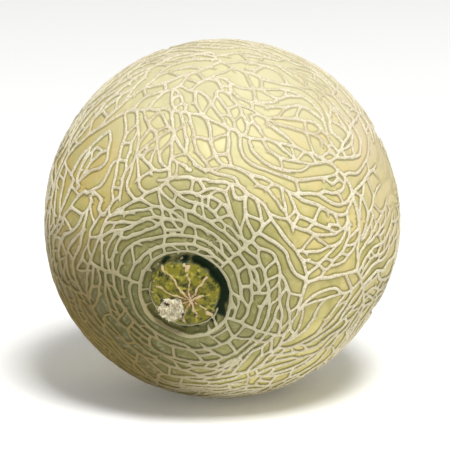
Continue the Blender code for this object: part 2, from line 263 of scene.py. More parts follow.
class Net:
    # junctions on the unit ball, the cells between their lines, and each line's strength
    def __init__(self):
        self.ways = []
        self.cells = []
        self.side = {}
        self.line = {}
        self.ends = ()          # cells of the stem end and the blossom scar

    def addCell(self, loop):
        self.cells.append(loop)
        self.claim(len(self.cells) - 1)
        for a, b in zip(loop, loop[1:] + loop[:1]):
            self.line[(min(a, b), max(a, b))] = [net["firstStrength"]] * 2

    def claim(self, cell):
        loop = self.cells[cell]
        for a, b in zip(loop, loop[1:] + loop[:1]):
            self.side[(a, b)] = cell

    def length(self, a, b):
        return (self.ways[a] - self.ways[b]).length * equator

    def middle(self, cell):
        return sum((self.ways[v] for v in self.cells[cell]), Vector()).normalized()

    def splitLine(self, a, b, share):
        # puts a junction into the line from a to b, in the cells on both of its sides
        new = len(self.ways)
        self.ways.append(self.ways[a].lerp(self.ways[b], share).normalized())
        for one, two in ((a, b), (b, a)):
            cell = self.side.pop((one, two))
            loop = self.cells[cell]
            loop.insert(loop.index(one) + 1, new)
            self.side[(one, new)] = cell
            self.side[(new, two)] = cell
        low, high = min(a, b), max(a, b)
        atLow, atHigh = self.line.pop((low, high))
        part = share if a == low else 1.0 - share
        between = atLow + (atHigh - atLow) * part
        self.line[(low, new)] = [atLow, between]
        self.line[(high, new)] = [atHigh, between]
        return new

    def cut(self, cell, first, second, path, start, end):
        # a new line from first to second through path, its strength from start to end
        ids = []
        for way in path:
            ids.append(len(self.ways))
            self.ways.append(way)
        run = [first] + ids + [second]
        loop = self.cells[cell]
        i, j = loop.index(first), loop.index(second)
        if i > j:
            i, j = j, i
            back = run
        else:
            back = run[::-1]
        one = loop[i:j + 1] + back[1:-1]
        two = loop[j:] + loop[:i + 1] + back[::-1][1:-1]
        self.cells[cell] = one
        self.cells.append(two)
        self.claim(cell)
        self.claim(len(self.cells) - 1)
        pieces = len(run) - 1
        for k, (a, b) in enumerate(zip(run, run[1:])):
            atA = start + (end - start) * k / pieces
            atB = start + (end - start) * (k + 1) / pieces
            self.line[(min(a, b), max(a, b))] = [atA, atB] if a < b else [atB, atA]
        return len(self.cells) - 1


def firstFields(draw):
    # wide fields between the collar, a few rings and the blossom scar
    graph = Net()
    angles = [math.asin(net["collarRing"] / equator)]
    angles += [math.radians(a) for a in net["rows"]]
    angles.append(math.pi - math.asin(fruit["scarRadius"] / equator))
    count = net["ringPoints"]
    for row, polar in enumerate(angles):
        for k in range(count):
            turn = 2.0 * math.pi * k / count
            wave = Vector((1.7 * math.cos(turn), 1.7 * math.sin(turn), 3.7 * row))
            at = polar + math.radians(net["ringStray"][row]) * noise.noise(wave)
            graph.ways.append(Vector((math.sin(at) * math.cos(turn),
                                      math.sin(at) * math.sin(turn), math.cos(at))))
    graph.addCell(list(range(count)))
    for row, spokes in enumerate(net["spokes"]):
        begin = draw.uniform(0.0, count)
        at = []
        for k in range(spokes):
            stray = draw.uniform(-net["spokeStray"], net["spokeStray"])
            at.append(round(begin + (k + stray) * count / spokes) % count)
        at = sorted(set(at))
        for k, low in enumerate(at):
            high = at[(k + 1) % len(at)]
            span = [(low + m) % count for m in range((high - low) % count + 1)]
            outer = [count * (row + 1) + m for m in span]
            inner = [count * row + m for m in reversed(span)]
            graph.addCell(outer + inner)
    last = count * (len(angles) - 1)
    graph.addCell([last + k for k in reversed(range(count))])
    graph.ends = (0, len(graph.cells) - 1)
    return graph


class Walls:
    # the border of one cell, for finding where a path meets it
    def __init__(self, graph, cell):
        loop = graph.cells[cell]
        self.ids = list(zip(loop, loop[1:] + loop[:1]))
        self.a = np.array([graph.ways[v] for v in loop])
        self.b = np.roll(self.a, -1, axis=0)
        self.run = self.b - self.a
        self.square = np.maximum(np.sum(self.run * self.run, axis=1), 1e-12)
        self.cross = np.cross(self.a, self.b)

    def nearest(self, spot):
        # distance to the border, with the wall and the share of it where that is
        share = np.clip(np.sum((spot - self.a) * self.run, axis=1) / self.square, 0.0, 1.0)
        gap = np.linalg.norm(self.a + share[:, None] * self.run - spot, axis=1)
        k = int(gap.argmin())
        return gap[k], self.ids[k], float(share[k])

    def met(self, here, there):
        # the first wall that a step crosses
        plane = np.cross(here, there)
        atA, atB = self.a @ plane, self.b @ plane
        hit = ((atA < 0.0) != (atB < 0.0)) & ((self.cross @ here < 0.0) != (self.cross @ there < 0.0))
        hit &= self.a @ here > 0.5
        if not hit.any():
            return None
        share = atA / np.where(hit, atA - atB, 1.0)
        gap = np.linalg.norm(self.a + share[:, None] * self.run - here, axis=1)
        gap[~hit] = 9.0
        k = int(gap.argmin())
        return self.ids[k], float(share[k]), float(gap[k])


def followTo(walls, start, heading, flowing):
    # walks from a spot inside a cell to its border, along the flow or straight on, and
    # runs into a line that it comes close to
    here = start
    path = []
    length = 0.0
    step = net["flowStep"] / equator
    for _ in range(net["longestWalk"]):
        if flowing:
            flow = flowAt(here)
            heading = flow if flow.dot(heading) >= 0.0 else -flow
        there = (here + heading * step).normalized()
        hit = walls.met(np.array(here), np.array(there))
        if hit:
            return path, (*hit[0], hit[1]), length + hit[2] * equator
        length += step * equator
        if flowing and len(path) > 1:
            gap, ids, share = walls.nearest(np.array(there))
            if gap * equator < net["mergeGap"]:
                return path, (*ids, share), length
        path.append(there)
        heading = (heading - there * heading.dot(there)).normalized()
        here = there
    return path, None, length


def placeOnLine(graph, a, b, share):
    # where a new line meets an old one: never close to another junction
    length = graph.length(a, b)
    if length < 1.6 * net["shortest"]:
        return a if share < 0.5 else b
    least = min(0.5, net["shortest"] / length)
    return graph.splitLine(a, b, min(1.0 - least, max(least, share)))


def cutCell(graph, cell, walls, start, heading, flowing, strength, ending):
    # a new line through a spot inside the cell, both ways to the border
    back, first, _ = followTo(walls, start, heading * -1.0, flowing)
    ahead, second, _ = followTo(walls, start, heading, flowing)
    if not first or not second or first[:2] == second[:2]:
        return None
    path = back[::-1] + [start] + ahead
    one = placeOnLine(graph, *first)
    two = placeOnLine(graph, *second)
    loop = graph.cells[cell]
    gap = abs(loop.index(one) - loop.index(two)) if one != two else 0
    if gap in (0, 1, len(loop) - 1):
        return None
    clear = 0.6 * net["flowStep"] / equator
    while path and (path[0] - graph.ways[one]).length < clear:
        path.pop(0)
    while path and (path[-1] - graph.ways[two]).length < clear:
        path.pop()
    return graph.cut(cell, one, two, path if flowing else path[1:-1:2], strength, ending)


def insideSpot(graph, cell, walls):
    # a spot well inside the cell: its middle, or else the middle of a way across it
    loop = graph.cells[cell]
    middle = sum((graph.ways[v] for v in loop), Vector()).normalized()
    options = [middle]
    for k in range(0, len(loop), max(1, len(loop) // 9)):
        a, b = graph.ways[loop[k]], graph.ways[loop[(k + 1) % len(loop)]]
        between = ((a + b) / 2.0).normalized()
        inward = between.cross(b - a).normalized()
        begin = (between + inward * (0.0003 / equator)).normalized()
        _, hit, length = followTo(walls, begin, inward, False)
        if hit:
            options.append((between + inward * (length / equator / 2.0)).normalized())
    best, room = None, 0.0
    for spot in options:
        gap, ids, _ = walls.nearest(np.array(spot))
        a, b = graph.ways[ids[0]], graph.ways[ids[1]]
        inside = a.cross(b).dot(spot) > 0.0
        if inside and gap > room:
            best, room = spot, gap
    return best


def growNet(graph, draw):
    # strips along the flow first, and then rungs across each strip
    waiting = list(range(1, len(graph.cells) - 1))
    while waiting:
        cell = waiting.pop(0)
        walls = Walls(graph, cell)
        spot = insideSpot(graph, cell, walls)
        if spot is None:
            continue
        away = equator * math.hypot(spot.x, spot.y)
        scale = 1.0
        if spot.z > 0.0:
            near = 1.0 - float(fade(np.array(away), *net["narrowReach"]))
            scale -= (1.0 - net["stemNarrow"]) * near
        scale *= 1.0 + net["patchVary"] * noise.noise(spot * 3.4 + Vector((1.0, 8.0, 3.0)))
        strip = net["stripWidth"] * scale * draw.uniform(1.0 - net["stripVary"], 1.0 + net["stripVary"])
        rung = net["cellLength"] * scale * draw.uniform(1.0 - net["cellVary"], 1.0 + net["cellVary"])
        turn = math.radians(draw.uniform(-1.0, 1.0) * net["rungTurn"])
        offset = draw.uniform(-net["offset"], net["offset"])
        weight = draw.uniform(0.0, 1.0)
        dead = draw.random() < net["deadEnds"]
        flow = flowAt(spot)
        back, _, behind = followTo(walls, spot, -flow, True)
        ahead, _, before = followTo(walls, spot, flow, True)
        run = back[::-1] + [spot] + ahead
        widest, at = 0.0, spot
        for share in (0.5, 0.3, 0.7, 0.15, 0.85):
            here = run[int(share * (len(run) - 1))]
            side = here.cross(flowAt(here)).normalized()
            wide = [followTo(walls, here, side * sign, False) for sign in (-1.0, 1.0)]
            width = wide[0][2] + wide[1][2]
            if width > widest + 0.001:
                shift = (wide[1][2] - wide[0][2]) / 2.0 + offset * width
                widest, at = width, (here + side * (shift / equator)).normalized()
        new = None
        if widest > net["leastSplit"] * strip:
            strength = net["longStrength"][0] + net["longStrength"][1] * weight
            new = cutCell(graph, cell, walls, at, flowAt(at), True, strength, strength)
        for share in (0.5 + offset, 0.36 - offset, 0.66 - offset, 0.5 - offset):
            if new is not None or behind + before <= net["leastRung"] * rung:
                break
            here = run[min(len(run) - 1, max(0, round(share * (len(run) - 1))))]
            flow = flowAt(here)
            side = here.cross(flow).normalized()
            heading = (side * math.cos(turn) + flow * math.sin(turn)).normalized()
            strength = net["rungStrength"][0] + net["rungStrength"][1] * weight
            ending = net["deadStrength"] if dead else strength
            new = cutCell(graph, cell, walls, here, heading, False, strength, ending)
        if new is not None:
            waiting += [cell, new]


def cellSize(graph, cell):
    # area of a cell, and how wide it is on the whole
    spots = np.array([graph.ways[v] for v in graph.cells[cell]]) * equator
    middle = spots.mean(axis=0)
    turned = np.cross(spots - middle, np.roll(spots, -1, axis=0) - middle)
    area = 0.5 * np.linalg.norm(turned.sum(axis=0))
    return area, 4.0 * area / np.linalg.norm(spots - np.roll(spots, -1, axis=0), axis=1).sum()


def bestNeighbour(graph, cell, area, marks):
    # the neighbour behind the lines that folded, or else behind the weakest ones, small
    # rather than large, with the lines between the two as one run
    loop = graph.cells[cell]
    sides = {}
    for a, b in zip(loop, loop[1:] + loop[:1]):
        sides.setdefault(graph.side[(b, a)], []).append((a, b))
    best, least = None, 99.0
    for other, walls in sides.items():
        if other in graph.ends or len(walls) == len(loop):
            continue
        chain = [k for k, a in enumerate(loop) if (a, loop[(k + 1) % len(loop)]) in walls]
        breaks = sum((k + 1) % len(loop) not in chain for k in chain)
        force = sum(sum(graph.line[(min(w), max(w))]) for w in walls) / (2.0 * len(walls))
        force -= 0.2 * len(walls) + min(3, sum(marks.get(w, 0) for w in walls))
        force += (area + cellSize(graph, other)[0]) / net["fairArea"]
        if breaks == 1 and force < least:
            best, least = other, force
    return best, set(sides.get(best, []))


def joinTwo(graph, cell, other, walls):
    # takes out the walls between two cells, unless the new outline would touch itself
    loop, near = graph.cells[cell], graph.cells[other]
    count = len(loop)
    first = next(k for k in range(count) if (loop[k - 1], loop[k]) in walls
                 and (loop[k], loop[(k + 1) % count]) not in walls)
    kept = [loop[(first + m) % count] for m in range(count - len(walls) + 1)]
    at = next(k for k in range(len(near)) if (near[k], near[k - 1]) not in walls
              and (near[(k + 1) % len(near)], near[k]) in walls)
    rest = [near[(at + len(walls) + m) % len(near)] for m in range(len(near) - len(walls) + 1)]
    merged = rest + kept[1:-1]
    if rest[-1] != kept[0] or len(set(merged)) != len(merged):
        return False
    for a, b in walls:
        graph.line.pop((min(a, b), max(a, b)))
        graph.side.pop((a, b))
        graph.side.pop((b, a))
    graph.cells[other] = merged
    graph.cells[cell] = []
    graph.claim(other)
    return True


def joinCells(graph, folded):
    # a cell with no room for its floor joins a neighbour
    joined = 0
    for cell in range(1, len(graph.cells)):
        if not graph.cells[cell] or cell in graph.ends:
            continue
        marks = folded.get(cell, {})
        area, room = cellSize(graph, cell)
        if not marks and area > net["leastArea"] and room > net["leastRoom"]:
            continue
        other, walls = bestNeighbour(graph, cell, area, marks)
        if other is not None and joinTwo(graph, cell, other, walls):
            joined += 1
    return joined


draw = random.Random(net["seed"])
graph = firstFields(draw)
growNet(graph, draw)
joined = joinCells(graph, {})
print("net:", len(graph.cells), "cells,", len(graph.ways), "junctions,", joined, "small cells joined")


# Lines and cells as points close enough to wind
course = {
    "stepSeen": 0.00142,        # between points of a line: on the photo's side, hidden, at the ends
    "stepHidden": 0.00225,
    "stepEnd": 0.00090,
    "relaxPasses": 3,
    "relaxShare": 0.30,
    # pitch, reach and start of each winding that pushes the lines aside
    "windings": ((2.6, 0.050, (5.2, 1.3, 8.7)), (8.0, 0.0130, (1.9, 4.6, 7.3)),
                 (20.0, 0.0058, (2.6, 7.1, 0.4)), (45.0, 0.0024, (8.3, 3.3, 6.1))),
    "stemLoose": (0.38, 0.030),     # share of the windings at an end, and where all of it is left
    "scarLoose": (0.10, 0.016),
    "fadeVary": 0.30,
    "widest": 0.00096,          # half widths of the strongest and the weakest lines
    "narrowestLine": 0.00060,
    "collarShare": 0.72,
    # where hardly any cork shows: a spot of the photo's disc, reach, and share lost
    "smoothPatches": ((0.93, 0.24, 0.26, 0.80), (0.42, 0.78, 0.20, 0.55)),
    "widthVary": 0.30,
}


def finePoints(graph):
    # every line as a run of points, each with the line's strength there
    spots = list(graph.ways)
    strength = [0.0] * len(spots)
    runs = {}
    links = []
    camera = Vector(seenWay(0.0, 0.0))
    endLines = set()
    for k in graph.ends:
        loop = graph.cells[k]
        endLines |= {(min(a, b), max(a, b)) for a, b in zip(loop, loop[1:] + loop[:1])}
    for (a, b), (atA, atB) in sorted(graph.line.items()):
        length = graph.length(a, b)
        if (a, b) in endLines:
            count = 4 * round(length / (4.0 * course["stepEnd"])) or 1
        else:
            seen = graph.ways[a].dot(camera) > -0.1
            count = max(1, round(length / course["stepSeen" if seen else "stepHidden"]))
        run = [a]
        for k in range(1, count):
            part = k / count
            run.append(len(spots))
            spots.append(graph.ways[a].lerp(graph.ways[b], part).normalized())
            strength.append(max(0.0, atA + (atB - atA) * part))
        run.append(b)
        strength[a] = max(strength[a], atA)
        strength[b] = max(strength[b], atB)
        runs[(a, b)] = run
        runs[(b, a)] = run[::-1]
        links += list(zip(run, run[1:]))
    loops = []
    walls = []
    for cell, loop in enumerate(graph.cells):
        if not loop:
            continue
        fine = []
        for a, b in zip(loop, loop[1:] + loop[:1]):
            fine += runs[(a, b)][:-1]
            if cell not in graph.ends:
                walls += [(cell, a, b)] * (len(runs[(a, b)]) - 1)
        loops.append(fine)
    used = sorted({v for loop in loops for v in loop})
    number = {v: k for k, v in enumerate(used)}
    loops = [[number[v] for v in loop] for loop in loops]
    links = [(number[a], number[b]) for a, b in links]
    spots = [spots[v] for v in used]
    strength = [strength[v] for v in used]
    return np.array(spots), np.array(strength), np.array(links), loops, walls


def looseness(ways):
    # how far the lines may stray: hardly at all on the collar and the scar
    away = equator * np.hypot(ways[:, 0], ways[:, 1])
    least, free = course["stemLoose"]
    stem = np.maximum(least, fade(away, net["collarRing"], free))
    least, free = course["scarLoose"]
    scar = np.maximum(least, fade(away, fruit["scarRadius"], free))
    return np.where(ways[:, 2] > 0.0, stem, scar)


def windLines(spots, links):
    # evens the lines out, and then pushes them aside in waves of several sizes
    for _ in range(course["relaxPasses"]):
        total = np.zeros_like(spots)
        count = np.zeros(len(spots))
        for a, b in ((0, 1), (1, 0)):
            np.add.at(total, links[:, a], spots[links[:, b]])
            np.add.at(count, links[:, a], 1.0)
        share = course["relaxShare"] * looseness(spots)[:, None]
        spots = unit(spots + share * (total / count[:, None] - spots))
    free = looseness(spots)[:, None]
    stray = np.zeros_like(spots)
    for pitch, reach, start in course["windings"]:
        for k in range(3):
            begin = (start[k] + 3.7 * k, start[(k + 1) % 3], start[(k + 2) % 3])
            stray[:, k] += reach * drift(spots, pitch, begin)
    return unit(spots + stray * free)


# Floors of the cells: each outline moves inwards from its lines, step by step
march = {
    "shoulder": 0.42,           # ring on the crest's edge, as a share of the line's half width
    "innerGap": 0.00075,        # last ring, past the foot of the line
    "steps": (3, 4, 3),
    "smooth": 0.11,
    "leastGap": 0.00115,        # an outline stops where its other side is this near
    "gapSoft": 0.0004,
    "check": 2,                 # steps from one look at that gap to the next
    "tries": 9,
    "narrowing": 0.78,          # what a try does to the lines round a fold
    "smoothing": 1.6,
    "mostSmooth": 0.42,
    "knots": 10,                # small loops undone in an outline, and their most points
    "knotPoints": 6,
    "floorPitch": 0.0021,       # points inside a cell's floor, and their least distance to its edge
    "floorGap": 0.0008,
    "floorRidge": -0.5,         # trait of the floor, where a crest has 1 and a line's foot 0
}


def cornerRows(loops):
    # all outlines in one row, with each corner's neighbours in its own outline
    corners = np.concatenate([np.array(loop) for loop in loops])
    starts = np.cumsum([0] + [len(loop) for loop in loops])
    after = np.arange(len(corners)) + 1
    before = np.arange(len(corners)) - 1
    for first, end in zip(starts[:-1], starts[1:]):
        after[end - 1] = first
        before[first] = end - 1
    return corners, starts, after, before


def marchCells(front, width, smooth, starts, after, before):
    # three rings inside each outline: on the crest's edge, at its foot, and on the floor
    stages = (march["shoulder"] * width, (1.0 - march["shoulder"]) * width,
              march["innerGap"] * np.minimum(1.0, width / course["narrowestLine"]))
    rings = []
    active = np.ones(len(front))
    turn = 0
    for distance, steps in zip(stages, march["steps"]):
        for _ in range(steps):
            if turn % march["check"] == 0:
                active = clearance(front, starts)
                active = 0.5 * active + 0.25 * (active[after] + active[before])
            turn += 1
            along = front[after] - front[before]
            normal = unit(front)
            inward = unit(np.cross(normal, along))
            front = front + inward * (distance / steps * active)[:, None]
            front += smooth[:, None] * ((front[after] + front[before]) / 2.0 - front)
            front = unit(front) * equator
        rings.append(front / equator)
    return rings


def clearance(front, starts):
    # 0 where a cell's outline has come close to its other side, 1 where it is free
    free = np.ones(len(front))
    for first, end in zip(starts[:-1], starts[1:]):
        here = front[first:end]
        count = end - first
        apart = np.linalg.norm(here[:, None] - here[None], axis=2)
        index = np.arange(count)
        step = np.abs(index[:, None] - index[None])
        step = np.minimum(step, count - step)
        apart[step <= 2] = 1.0
        gap = apart.min(axis=1)
        free[first:end] = np.clip((gap - march["leastGap"]) / march["gapSoft"], 0.0, 1.0)
    return free


def sinkCells(spots, loops, lineWidth):
    # the march again with narrower lines wherever a ring has folded over itself
    corners, starts, after, before = cornerRows(loops)
    crest = spots[corners]
    width = lineWidth[corners].copy()
    smooth = np.full(len(corners), march["smooth"])
    for _ in range(march["tries"]):
        rings = marchCells(crest * equator, width, smooth, starts, after, before)
        folded = np.zeros(len(corners), bool)
        for outer, inner in zip([crest] + rings, rings):
            normals = np.cross(inner[after] - outer, inner - outer[after])
            folded |= np.sum(normals * crest, axis=1) <= 0.0
        if not folded.any():
            break
        wide = folded
        for _ in range(3):
            wide = wide | wide[after] | wide[before]
        width[wide] *= march["narrowing"]
        smooth[wide] = np.minimum(march["mostSmooth"], smooth[wide] * march["smoothing"])
    return corners, starts, after, rings, folded


def across(a, b):
    # more than 0 where b lies to the left of a
    return a[..., 0] * b[..., 1] - a[..., 1] * b[..., 0]


def untangle(flat):
    # small loops where an outline crosses itself are drawn together at the crossing
    count = len(flat)
    index = np.arange(count)
    step = (index[None] - index[:, None]) % count
    tiny = 1e-7                 # share of a stretch that still counts as its end
    for _ in range(march["knots"]):
        run = np.roll(flat, -1, axis=0) - flat
        toward = flat[None] - flat[:, None]
        spread = across(run[:, None], run[None])
        spread = np.where(np.abs(spread) < 1e-16, 1e-16, spread)
        onFirst = across(toward, run[None]) / spread
        onSecond = across(toward, run[:, None]) / spread
        hit = np.minimum(onFirst, onSecond) > tiny
        hit &= np.maximum(onFirst, onSecond) < 1.0 - tiny
        hit &= (step > 1) & (step <= march["knotPoints"]) & (2 * step <= count)
        if not hit.any():
            break
        i, j = np.unravel_index(np.where(hit, step, count).argmin(), hit.shape)
        flat[(i + 1 + np.arange(step[i, j])) % count] = flat[i] + onFirst[i, j] * run[i]
    return flat


def timesRound(spots, flat):
    # how often an outline runs round each spot
    toward = spots[:, None] - flat[None]
    run = np.roll(flat, -1, axis=0) - flat
    below, onward = toward[:, :, 1] >= 0.0, toward[:, :, 1] >= run[:, 1]
    onLeft = across(run[None], toward) > 0.0
    return (below & ~onward & onLeft).sum(axis=1) - (~below & onward & ~onLeft).sum(axis=1)


def gridInside(flat):
    # an even grid of points inside an outline and clear of it
    low, high = flat.min(axis=0), flat.max(axis=0)
    pitch = march["floorPitch"] / equator
    gridX, gridY = np.meshgrid(*(np.arange(*ends, pitch) for ends in zip(low, high)))
    gridX[1::2] += 0.5 * pitch
    grid = np.stack([gridX.ravel(), gridY.ravel()], axis=1)
    run = np.roll(flat, -1, axis=0) - flat
    toGrid = grid[:, None] - flat[None]
    share = (toGrid * run).sum(axis=2) / np.maximum((run * run).sum(axis=1), 1e-12)
    share = np.clip(share, 0.0, 1.0)
    gap = np.linalg.norm(toGrid - share[:, :, None] * run[None], axis=2).min(axis=1)
    return grid[(timesRound(grid, flat) > 0) & (gap > march["floorGap"] / equator)]


def fillFloor(ring):
    # triangles over a cell's floor, with points inside it so that it keeps its curve
    middle = unit(ring.mean(axis=0))
    side = unit(np.cross(middle, ring[0] - middle))
    ahead = np.cross(middle, side)
    flat = untangle(np.stack([ring @ side, ring @ ahead], axis=1) / (ring @ middle)[:, None])
    ring[:] = unit(middle + flat[:, :1] * side + flat[:, 1:] * ahead)
    grid = gridInside(flat)
    count = len(flat)
    number, own = {}, []        # points of the outline at one place count as one
    for k, spot in enumerate(np.round(flat / 1e-8).astype(int).tolist()):
        own.append(number.setdefault(tuple(spot), k))
    kept = sorted(set(own))
    rank = {k: m for m, k in enumerate(kept)}
    edges = [(rank[own[k]], rank[own[(k + 1) % count]]) for k in range(count)]
    edges = [(a, b) for a, b in edges if a != b]
    back = kept + list(range(count, count + len(grid)))
    places = [Vector(p) for p in flat[kept].tolist() + grid.tolist()]
    found, _, triangles, origins, _, _ = geometry.delaunay_2d_cdt(places, edges, [], 1, 1e-9, True)
    for v, ids in enumerate(origins):
        if not ids:    # the outline crosses itself here
            grid = np.concatenate([grid, [found[v]]])
            back.append(count + len(grid) - 1)
    fresh = iter(back[len(places):])
    own = [back[ids[0]] if ids else next(fresh) for ids in origins]
    centres = np.array([np.mean([found[v] for v in triangle], axis=0) for triangle in triangles])
    ways = unit(middle + grid[:, :1] * side + grid[:, 1:] * ahead) if len(grid) else []
    if not len(centres):
        return ways, None
    filled = timesRound(centres, flat) != 0
    return ways, [tuple(own[v] for v in triangle) for triangle, one in zip(triangles, filled) if one]


def layLines(graph):
    # winding lines and sunk cells, and which lines still fold
    spots, strength, links, loops, walls = finePoints(graph)
    spots = windLines(spots, links)
    strength = strength * (1.0 - course["fadeVary"] * (0.5 + drift(spots, 11.0, (4.4, 9.2, 1.7))))
    for x, y, reach, share in course["smoothPatches"]:
        gap = np.arccos(np.clip(spots @ seenWay(x, y), -1.0, 1.0)) / reach
        strength *= 1.0 - share * (1.0 - fade(gap, 0.6, 1.2))
    widths = course["narrowestLine"], course["widest"]
    lineWidth = widths[0] + (widths[1] - widths[0]) * np.clip(strength, 0.0, 1.0)
    lineWidth *= 1.0 + course["widthVary"] * drift(spots, 17.0, (7.7, 0.9, 3.1))
    away = np.hypot(spots[:, 0], spots[:, 1]) * equator
    onCollar = (spots[:, 2] > 0.0) & (away < 1.06 * net["collarRing"])
    lineWidth[onCollar] *= course["collarShare"]
    endAt = [0, sum(1 for loop in graph.cells[:graph.ends[1]] if loop)]
    endLoops = [loops[k] for k in endAt]
    cellLoops = [loop for k, loop in enumerate(loops) if k not in endAt]
    sunk = sinkCells(spots, cellLoops, lineWidth)
    starts, inner, turned = sunk[1], sunk[3][2], sunk[4]
    floors = []
    for first, end in zip(starts[:-1], starts[1:]):
        floors.append(fillFloor(inner[first:end]))
        if floors[-1][1] is None:
            turned[first:end] = True
    folded = {}
    for k in np.flatnonzero(turned):
        cell, a, b = walls[k]
        marks = folded.setdefault(cell, {})
        marks[(a, b)] = marks.get((a, b), 0) + 1
    return spots, strength, links, lineWidth, endLoops, sunk, floors, folded


for turn in range(net["rounds"]):     # cells whose floor folds join a neighbour
    spots, strength, links, lineWidth, endLoops, sunk, floors, folded = layLines(graph)
    if not folded or turn == net["rounds"] - 1 or not joinCells(graph, folded):
        break
corners, starts, after, rings, _ = sunk
left = sum(sum(marks.values()) for marks in folded.values())
print("lines:", len(spots), "points,", len(starts) - 1, "cells,", len(corners), "corners,", left, "folded")


# Stem end and blossom scar: rings of points from their rim to the middle
stemEnd = {
    "star": (0.0021, -0.0016),
    "starReach": 0.0044,
    # cracks: angle in degrees at the star, share of the way to the cushion's edge, strength
    "cracks": ((92, 0.98, 0.9), (128, 1.0, 1.0), (50, 0.95, 0.9), (18, 0.55, 0.45),
               (-38, 1.02, 1.0), (-75, 0.75, 0.5), (-105, 0.9, 0.6), (160, 0.9, 0.6),
               (-160, 0.75, 0.5)),
    "crackPoints": 9,
    "crackWidth": 0.00054,
    "crackBend": 0.0011,
    "rimWidth": 0.00095,
    "rimVary": 0.45,
    # short corky bridges over the groove: angle in degrees, strength and lean
    "bridges": ((127, 0.8, 10), (158, 0.7, -14), (176, 0.6, 6), (-40, 0.9, -8), (-70, 0.45, 12),
                (88, 0.35, 9), (-150, 0.5, -10)),
    "bridgeWidth": 0.00058,
    "bridgeSpan": (0.0124, 0.0148, 0.0176),
    # the groove round the cushion: its dark green, partly painted shade, is widest at this angle
    "grooveAim": 18.0,
    "grooveMiddle": 0.0149,
    "grooveReach": (0.0019, 0.0016),
    "innerRing": 0.0143,
    "innerRingWidth": 0.00072,
    "bend": (0.0013, 0.0006),   # how far coarse and fine waves push all this aside
    "bendPitch": (0.0062, 0.0022),
    "padEdge": (0.0124, 0.0138),    # where the cushion's olive ends
    "rowStep": 0.00046,
    "crowded": 0.55,            # points this near, as a share of the row's step, are halved
}
scarEnd = {
    "button": 0.0022,           # small ring of cork in the middle
    "buttonWidth": 0.0013,
    "buttonStrength": 0.6,
    "padEdge": (0.0035, 0.0048),
    "rowStep": 0.0007,
}


def crackLines():
    # the cushion's cracks, as runs of points out of the star
    star = np.array(stemEnd["star"])
    lines = []
    for k, (angle, reach, weight) in enumerate(stemEnd["cracks"]):
        a = math.radians(angle)
        way = np.array((math.cos(a), math.sin(a)))
        ahead = star @ way
        length = -ahead + math.sqrt(ahead * ahead + fruit["cushionRadius"] ** 2 - star @ star)
        aside = np.array((-way[1], way[0]))
        run = []
        for m in range(stemEnd["crackPoints"]):
            part = m / (stemEnd["crackPoints"] - 1.0)
            aim = Vector((part * 2.6, 3.1 * k, 0.7))
            bend = noise.noise(aim) * stemEnd["crackBend"] * min(1.0, 3.0 * part)
            run.append(star + way * length * reach * part + aside * bend)
        lines.append((np.array(run), weight))
    return lines


def nearLine(flat, run):
    # distance of each spot to a run of points, and how far along it that is
    best = np.full(len(flat), 1.0)
    along = np.zeros(len(flat))
    for k in range(len(run) - 1):
        a, b = run[k], run[k + 1]
        t = np.clip((flat - a) @ (b - a) / ((b - a) @ (b - a)), 0.0, 1.0)
        gap = np.linalg.norm(flat - a - t[:, None] * (b - a), axis=1)
        closer = gap < best
        best = np.where(closer, gap, best)
        along = np.where(closer, (k + t) / (len(run) - 1), along)
    return best, along


def endCap(rim, spots, first, sign, rowStep):
    # rows of points from a rim to the pole, with half as many points where they crowd
    flatRim = spots[rim][:, :2] * equator
    reach = np.hypot(*flatRim.T).mean()
    row = list(rim)
    flat = flatRim
    newFlat = []
    faces = []
    rows = max(3, round(reach / rowStep))
    for k in range(1, rows):
        share = 1.0 - k / rows
        apart = 2.0 * math.pi * reach * share / len(row)
        halve = apart < stemEnd["crowded"] * rowStep and len(row) % 2 == 0 and len(row) > 8
        inner = flatRim[:: len(rim) // (len(row) // 2 if halve else len(row))] * share
        ids = list(range(first + len(newFlat), first + len(newFlat) + len(inner)))
        newFlat += list(inner)
        n = len(row)
        if halve:
            for j in range(0, n, 2):
                a, b, c = row[j], row[j + 1], row[(j + 2) % n]
                d, e = ids[j // 2], ids[(j // 2 + 1) % len(ids)]
                faces += [(a, b, d), (b, e, d), (b, c, e)]
        else:
            for j in range(n):
                faces.append((row[j], row[(j + 1) % n], ids[(j + 1) % n], ids[j]))
        row = ids
    centre = first + len(newFlat)
    newFlat.append(np.zeros(2))
    for j in range(len(row)):
        faces.append((row[j], row[(j + 1) % len(row)], centre))
    flat = np.array(newFlat)
    x, y = flat[:, 0] / equator, flat[:, 1] / equator
    ways = np.stack([x, y, sign * np.sqrt(1.0 - x * x - y * y)], axis=1)
    return ways, flat, faces


def lineTree(spots, strength, lineWidth, links):
    # close points along every line, with the line's strength and half width there
    stops = 5                   # points on each stretch
    tree = KDTree(len(links) * stops)
    values = []
    for a, b in links:
        for k in range(stops):
            part = k / stops
            tree.insert(spots[a] + (spots[b] - spots[a]) * part, len(values))
            values.append((strength[a] + (strength[b] - strength[a]) * part,
                           lineWidth[a] + (lineWidth[b] - lineWidth[a]) * part))
    tree.balance()
    return tree, np.array(values)


def ridgeAt(ring, own, share, tree, values):
    # how far up the nearest line a point lies, if that is higher than on its own line
    found = [tree.find(p) for p in ring]
    near = values[[f[1] for f in found]]
    gap = np.array([f[2] for f in found]) * equator
    other = 1.0 - gap / near[:, 1]
    ownLift = np.clip(share, 0.0, 1.0) * own
    otherLift = np.clip(other, 0.0, 1.0) * near[:, 0]
    better = otherLift > ownLift + 0.05
    return np.where(better, np.clip(other, -0.5, 1.0), share), np.where(better, near[:, 0], own)


def raiseLine(cap, lift, force):
    # a line takes over where it stands higher than what is there already
    better = lift > np.maximum(cap["ridge"], 0.0)
    cap["ridge"] = np.where(better, lift, cap["ridge"])
    cap["strength"] = np.where(better, force, cap["strength"])


